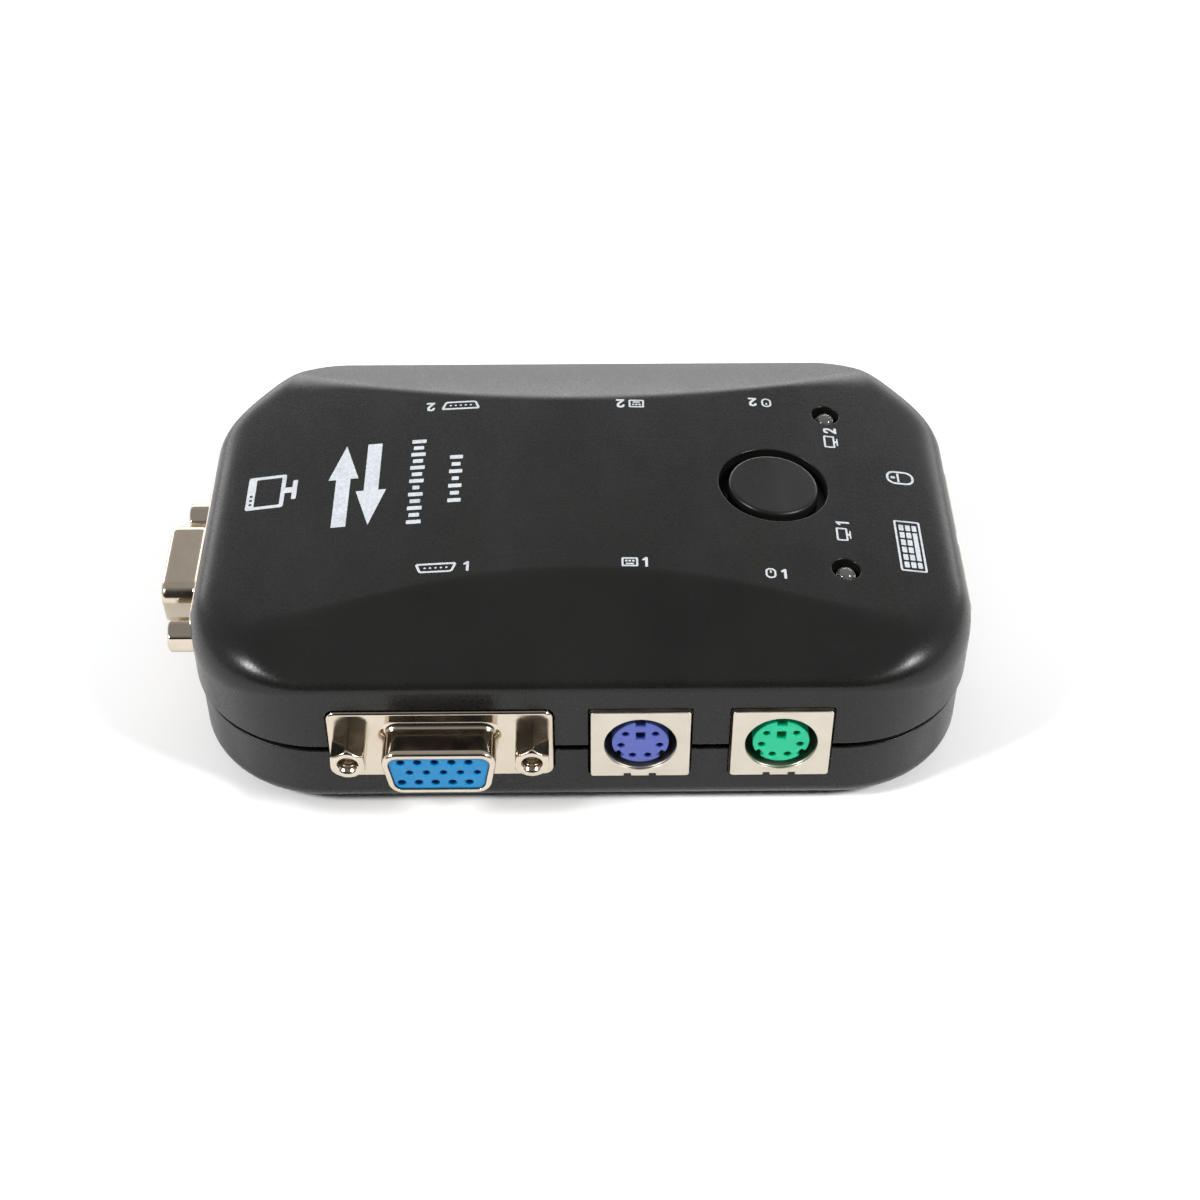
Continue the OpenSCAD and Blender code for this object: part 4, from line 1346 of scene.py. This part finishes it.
def ink(name):
    """Pad-printed ink with an uneven edge of density."""
    g = Graph(name)
    patch = g.noise(2600, 3, 0.6)
    wear = g.spread(g.noise(420, 4, 0.7), 0.52, 0.74, 0, 0.5)
    body = g.blend(g.spread(patch, 0.35, 0.65, 0, 1), (0.40, 0.43, 0.46), (0.52, 0.55, 0.58))
    g.wire(g.blend(wear, body, (0.20, 0.215, 0.23)), "Base Color")
    g.wire(g.spread(patch, 0.3, 0.7, 0.45, 0.62), "Roughness")
    g.wire(g.bump(patch, 0.000006), "Normal")
    return g.material


def rubbery(name):
    g = Graph(name)
    grain = g.noise(1800, 4, 0.6)
    g.wire(g.blend(g.noise(150, 2), (0.012, 0.012, 0.012), (0.03, 0.03, 0.029)), "Base Color")
    g.wire(g.spread(grain, 0.3, 0.7, 0.75, 0.92), "Roughness")
    g.wire(g.bump(grain, 0.00002), "Normal")
    return g.material


def laminate(name):
    g = Graph(name)
    weave = g.noise(1.0, 2, 0.5, g.scaled(1500, 1500, 400))
    g.wire(g.blend(weave, (0.015, 0.16, 0.06), (0.03, 0.24, 0.10)), "Base Color")
    g.wire(g.spread(weave, 0.3, 0.7, 0.3, 0.42), "Roughness")
    g.wire(g.bump(weave, 0.00001), "Normal")
    return g.material


BLACK = moulded("black_moulding", (0.0062, 0.0060, 0.0057), (0.0080, 0.0077, 0.0073), 0.29, smudge=0.04)
BLACK_CAP = moulded("button_moulding", (0.0066, 0.0064, 0.0061), (0.0086, 0.0083, 0.0079), 0.33,
                    grain=3200, relief=0.000008)
DARK = moulded("chip_moulding", (0.012, 0.012, 0.012), (0.02, 0.02, 0.02), 0.55)
NICKEL = plated("bright_nickel", (0.60, 0.53, 0.44), (0.50, 0.42, 0.32), 0.10, 0.07)
PLATE = plated("satin_nickel", (0.58, 0.535, 0.455), (0.51, 0.455, 0.38), 0.30, 0.10, (250, 250, 2600))
STEEL = plated("zinc_plate", (0.66, 0.67, 0.69), (0.52, 0.53, 0.55), 0.28, 0.12)
TIN = plated("tinned_metal_finish", (0.80, 0.80, 0.80), (0.66, 0.66, 0.66), 0.30, 0.12)
CUP = plated("light_cup_finish", (0.36, 0.35, 0.34), (0.26, 0.25, 0.24), 0.30, 0.12)
GOLD = plated("gold_plate", (0.95, 0.70, 0.30), (0.80, 0.55, 0.20), 0.18, 0.08)
BLUE = coloured("blue_moulding", (0.002, 0.20, 0.45), (0.002, 0.165, 0.38), 0.34)
VIOLET = coloured("violet_moulding", (0.08, 0.11, 0.39), (0.065, 0.09, 0.33), 0.34)
GREEN = coloured("green_moulding", (0.001, 0.46, 0.235), (0.001, 0.38, 0.19), 0.34)
CLEAR = clear_resin("clear_resin")
INK_WHITE = ink("printed_ink")
RUBBER = rubbery("foot_rubber")
BOARD = laminate("board_laminate_finish")
SLEEVE = coloured("sleeve_film", (0.02, 0.03, 0.12), (0.015, 0.02, 0.09), 0.3)
AMBER = coloured("amber_glass", (0.45, 0.16, 0.05), (0.35, 0.10, 0.03), 0.15)
CERAMIC = moulded("chip_ceramic_finish", (0.12, 0.08, 0.05), (0.20, 0.14, 0.09), 0.5)

# ---- pieces ----
piece("top_cover_moulding", build_top_cover(), "top_cover", BLACK)
piece("bottom_cover_moulding", build_bottom_cover(), "bottom_cover", BLACK)
piece("select_button_cap", build_button(), "select_button", BLACK_CAP, rides="button")
piece("printed_marks", build_print(), None, INK_WHITE)
for k, name in enumerate(("pc1_light", "pc2_light")):
    piece(name + "_lens", build_light(k), name, CLEAR)
    piece(name + "_cup", build_light_inside(k), None, CUP)
piece("case_screw_heads", build_case_screws(), "case_screws", STEEL)
piece("rubber_feet_pads", build_feet(), "rubber_feet", RUBBER)

for name in VIDEO:
    where = np.array(place(*side_of(name + "_shell"), PORT_Z + VIDEO_LIFT))
    nuts = build_jackscrew(-1).join(build_jackscrew(1))
    for end, node, body, slot, material in (
            ("_shell_pressing", "_shell", build_video_shell(), "nickel", NICKEL),
            ("_insulator_moulding", "_insulator", build_video_insulator(), "blue_plastic", BLUE),
            ("_jackscrew_pair", "_jackscrews", nuts, "nickel", NICKEL)):
        piece(name + end, body.moved(where), name + node, material)

for k, name in enumerate(JACKS):
    where = np.array(place(*side_of(name + "_shield"), PORT_Z))
    core_slot, core_material = (("violet_plastic", VIOLET), ("green_plastic", GREEN))[k % 2]
    for end, node, body, slot, material in (
            ("_shield_sheet", "_shield", build_jack_shield(), "nickel_plate", PLATE),
            ("_can_sleeve", "_can", build_jack_can(), "nickel_plate", PLATE),
            ("_core_moulding", "_core", build_jack_core(), core_slot, core_material)):
        piece(name + end, body.moved(where), name + node, material)

# the material of every CAD node, by the slot that the record gives it
CARRIED = {
    "black_plastic": BLACK, "button_plastic": BLACK_CAP, "black_rubber": RUBBER, "steel": STEEL,
    "board_laminate": BOARD, "chip_black": DARK, "tinned_metal": TIN, "clear_lens": CLEAR,
    "capacitor_sleeve": SLEEVE, "diode_glass": AMBER, "chip_ceramic": CERAMIC, "nickel": NICKEL,
    "nickel_plate": PLATE, "blue_plastic": BLUE, "violet_plastic": VIOLET, "green_plastic": GREEN, "gold": GOLD,
}
for row in frame["record"]["subparts"]:
    ob = frame["nodes"][row["node"]]
    for k in range(len(ob.material_slots)):
        ob.material_slots[k].material = CARRIED[row["material_slot"]]

# ---- floor, light and camera ----
def panel(name, size, at, look, power):
    light = bpy.data.lights.new(name, "AREA")
    light.shape = "RECTANGLE"
    light.size, light.size_y = size
    light.energy = power
    ob = show(name, light)
    ob.location = at
    ob.rotation_euler = (Vector(look) - Vector(at)).to_track_quat("-Z", "Y").to_euler()


FLOOR = 3.0                    # half the floor's side, in metres
floor_mesh = bpy.data.meshes.new("floor")
floor_mesh.from_pydata([(x * FLOOR, y * FLOOR, 0) for x, y in ((-1, -1), (1, -1), (1, 1), (-1, 1))],
                       [], [(0, 1, 2, 3)])
floor = show("floor", floor_mesh)
g = Graph("floor_paper")
g.wire(g.blend(g.noise(8, 2), (0.90, 0.90, 0.90), (0.92, 0.92, 0.92)), "Base Color")
g.put(Roughness=0.9, Specular_IOR_Level=0.1)
floor_mesh.materials.append(g.material)

world = bpy.data.worlds.new("studio")
bpy.context.scene.world = world
world.use_nodes = True
sky, sky_links = world.node_tree.nodes, world.node_tree.links
sky["Background"].inputs["Color"].default_value = (1, 1, 1, 1)
split = sky.new("ShaderNodeSeparateXYZ")
sky_links.new(sky.new("ShaderNodeTexCoord").outputs["Generated"], split.inputs["Vector"])
# brightest along the horizon, dim overhead, and dark on the camera's side
product = sky.new("ShaderNodeMath")
product.operation = "MULTIPLY"
sky_links.new(map_range(world.node_tree, split.outputs["Z"], 0.0, 0.8, 0.80, 0.46), product.inputs[0])
sky_links.new(map_range(world.node_tree, split.outputs["Y"], -0.65, -0.1, 0.05, 1.0), product.inputs[1])
sky_links.new(product.outputs["Value"], sky["Background"].inputs["Strength"])

panel("back_panel", (2.6, 0.42), (0, 1.1, 0.27), (0, 0, 0.02), 11)
panel("left_panel", (0.23, 0.29), (-0.85, -0.42, 0.8), (0, 0, 0), 13.5)
panel("right_panel", (0.23, 0.29), (0.85, -0.42, 0.8), (0, 0, 0), 13.5)

# the camera stands where the photograph's did, from a fit to the sockets' standard sizes
PITCH, YAW, ROLL = 0.76086, 0.01184, 0.00132
forward = np.array([math.sin(YAW) * math.cos(PITCH), math.cos(YAW) * math.cos(PITCH), -math.sin(PITCH)])
right = np.array([math.cos(YAW), -math.sin(YAW), 0.0])
upward = np.cross(right, forward)
right, upward = (math.cos(ROLL) * right + math.sin(ROLL) * upward, -math.sin(ROLL) * right + math.cos(ROLL) * upward)
eye = np.array([0.087 + CASE_X, -233.838, 215.894 + PORT_Z]) * MM
SENSOR = 36.0
FOCAL_PIXELS, PHOTO_WIDTH = 2134.2, 1200     # focal length and width of the photo, in its pixels
data = bpy.data.cameras.new("camera")
data.sensor_width = SENSOR
data.lens = SENSOR * FOCAL_PIXELS / PHOTO_WIDTH
data.clip_start = 0.01
camera = show("camera", data)
camera.matrix_world = Matrix([[right[k], upward[k], -forward[k], eye[k]] for k in range(3)] + [[0, 0, 0, 1]])
bpy.context.scene.camera = camera
bpy.context.scene.view_settings.view_transform = "Standard"
bpy.context.scene.view_settings.look = "None"
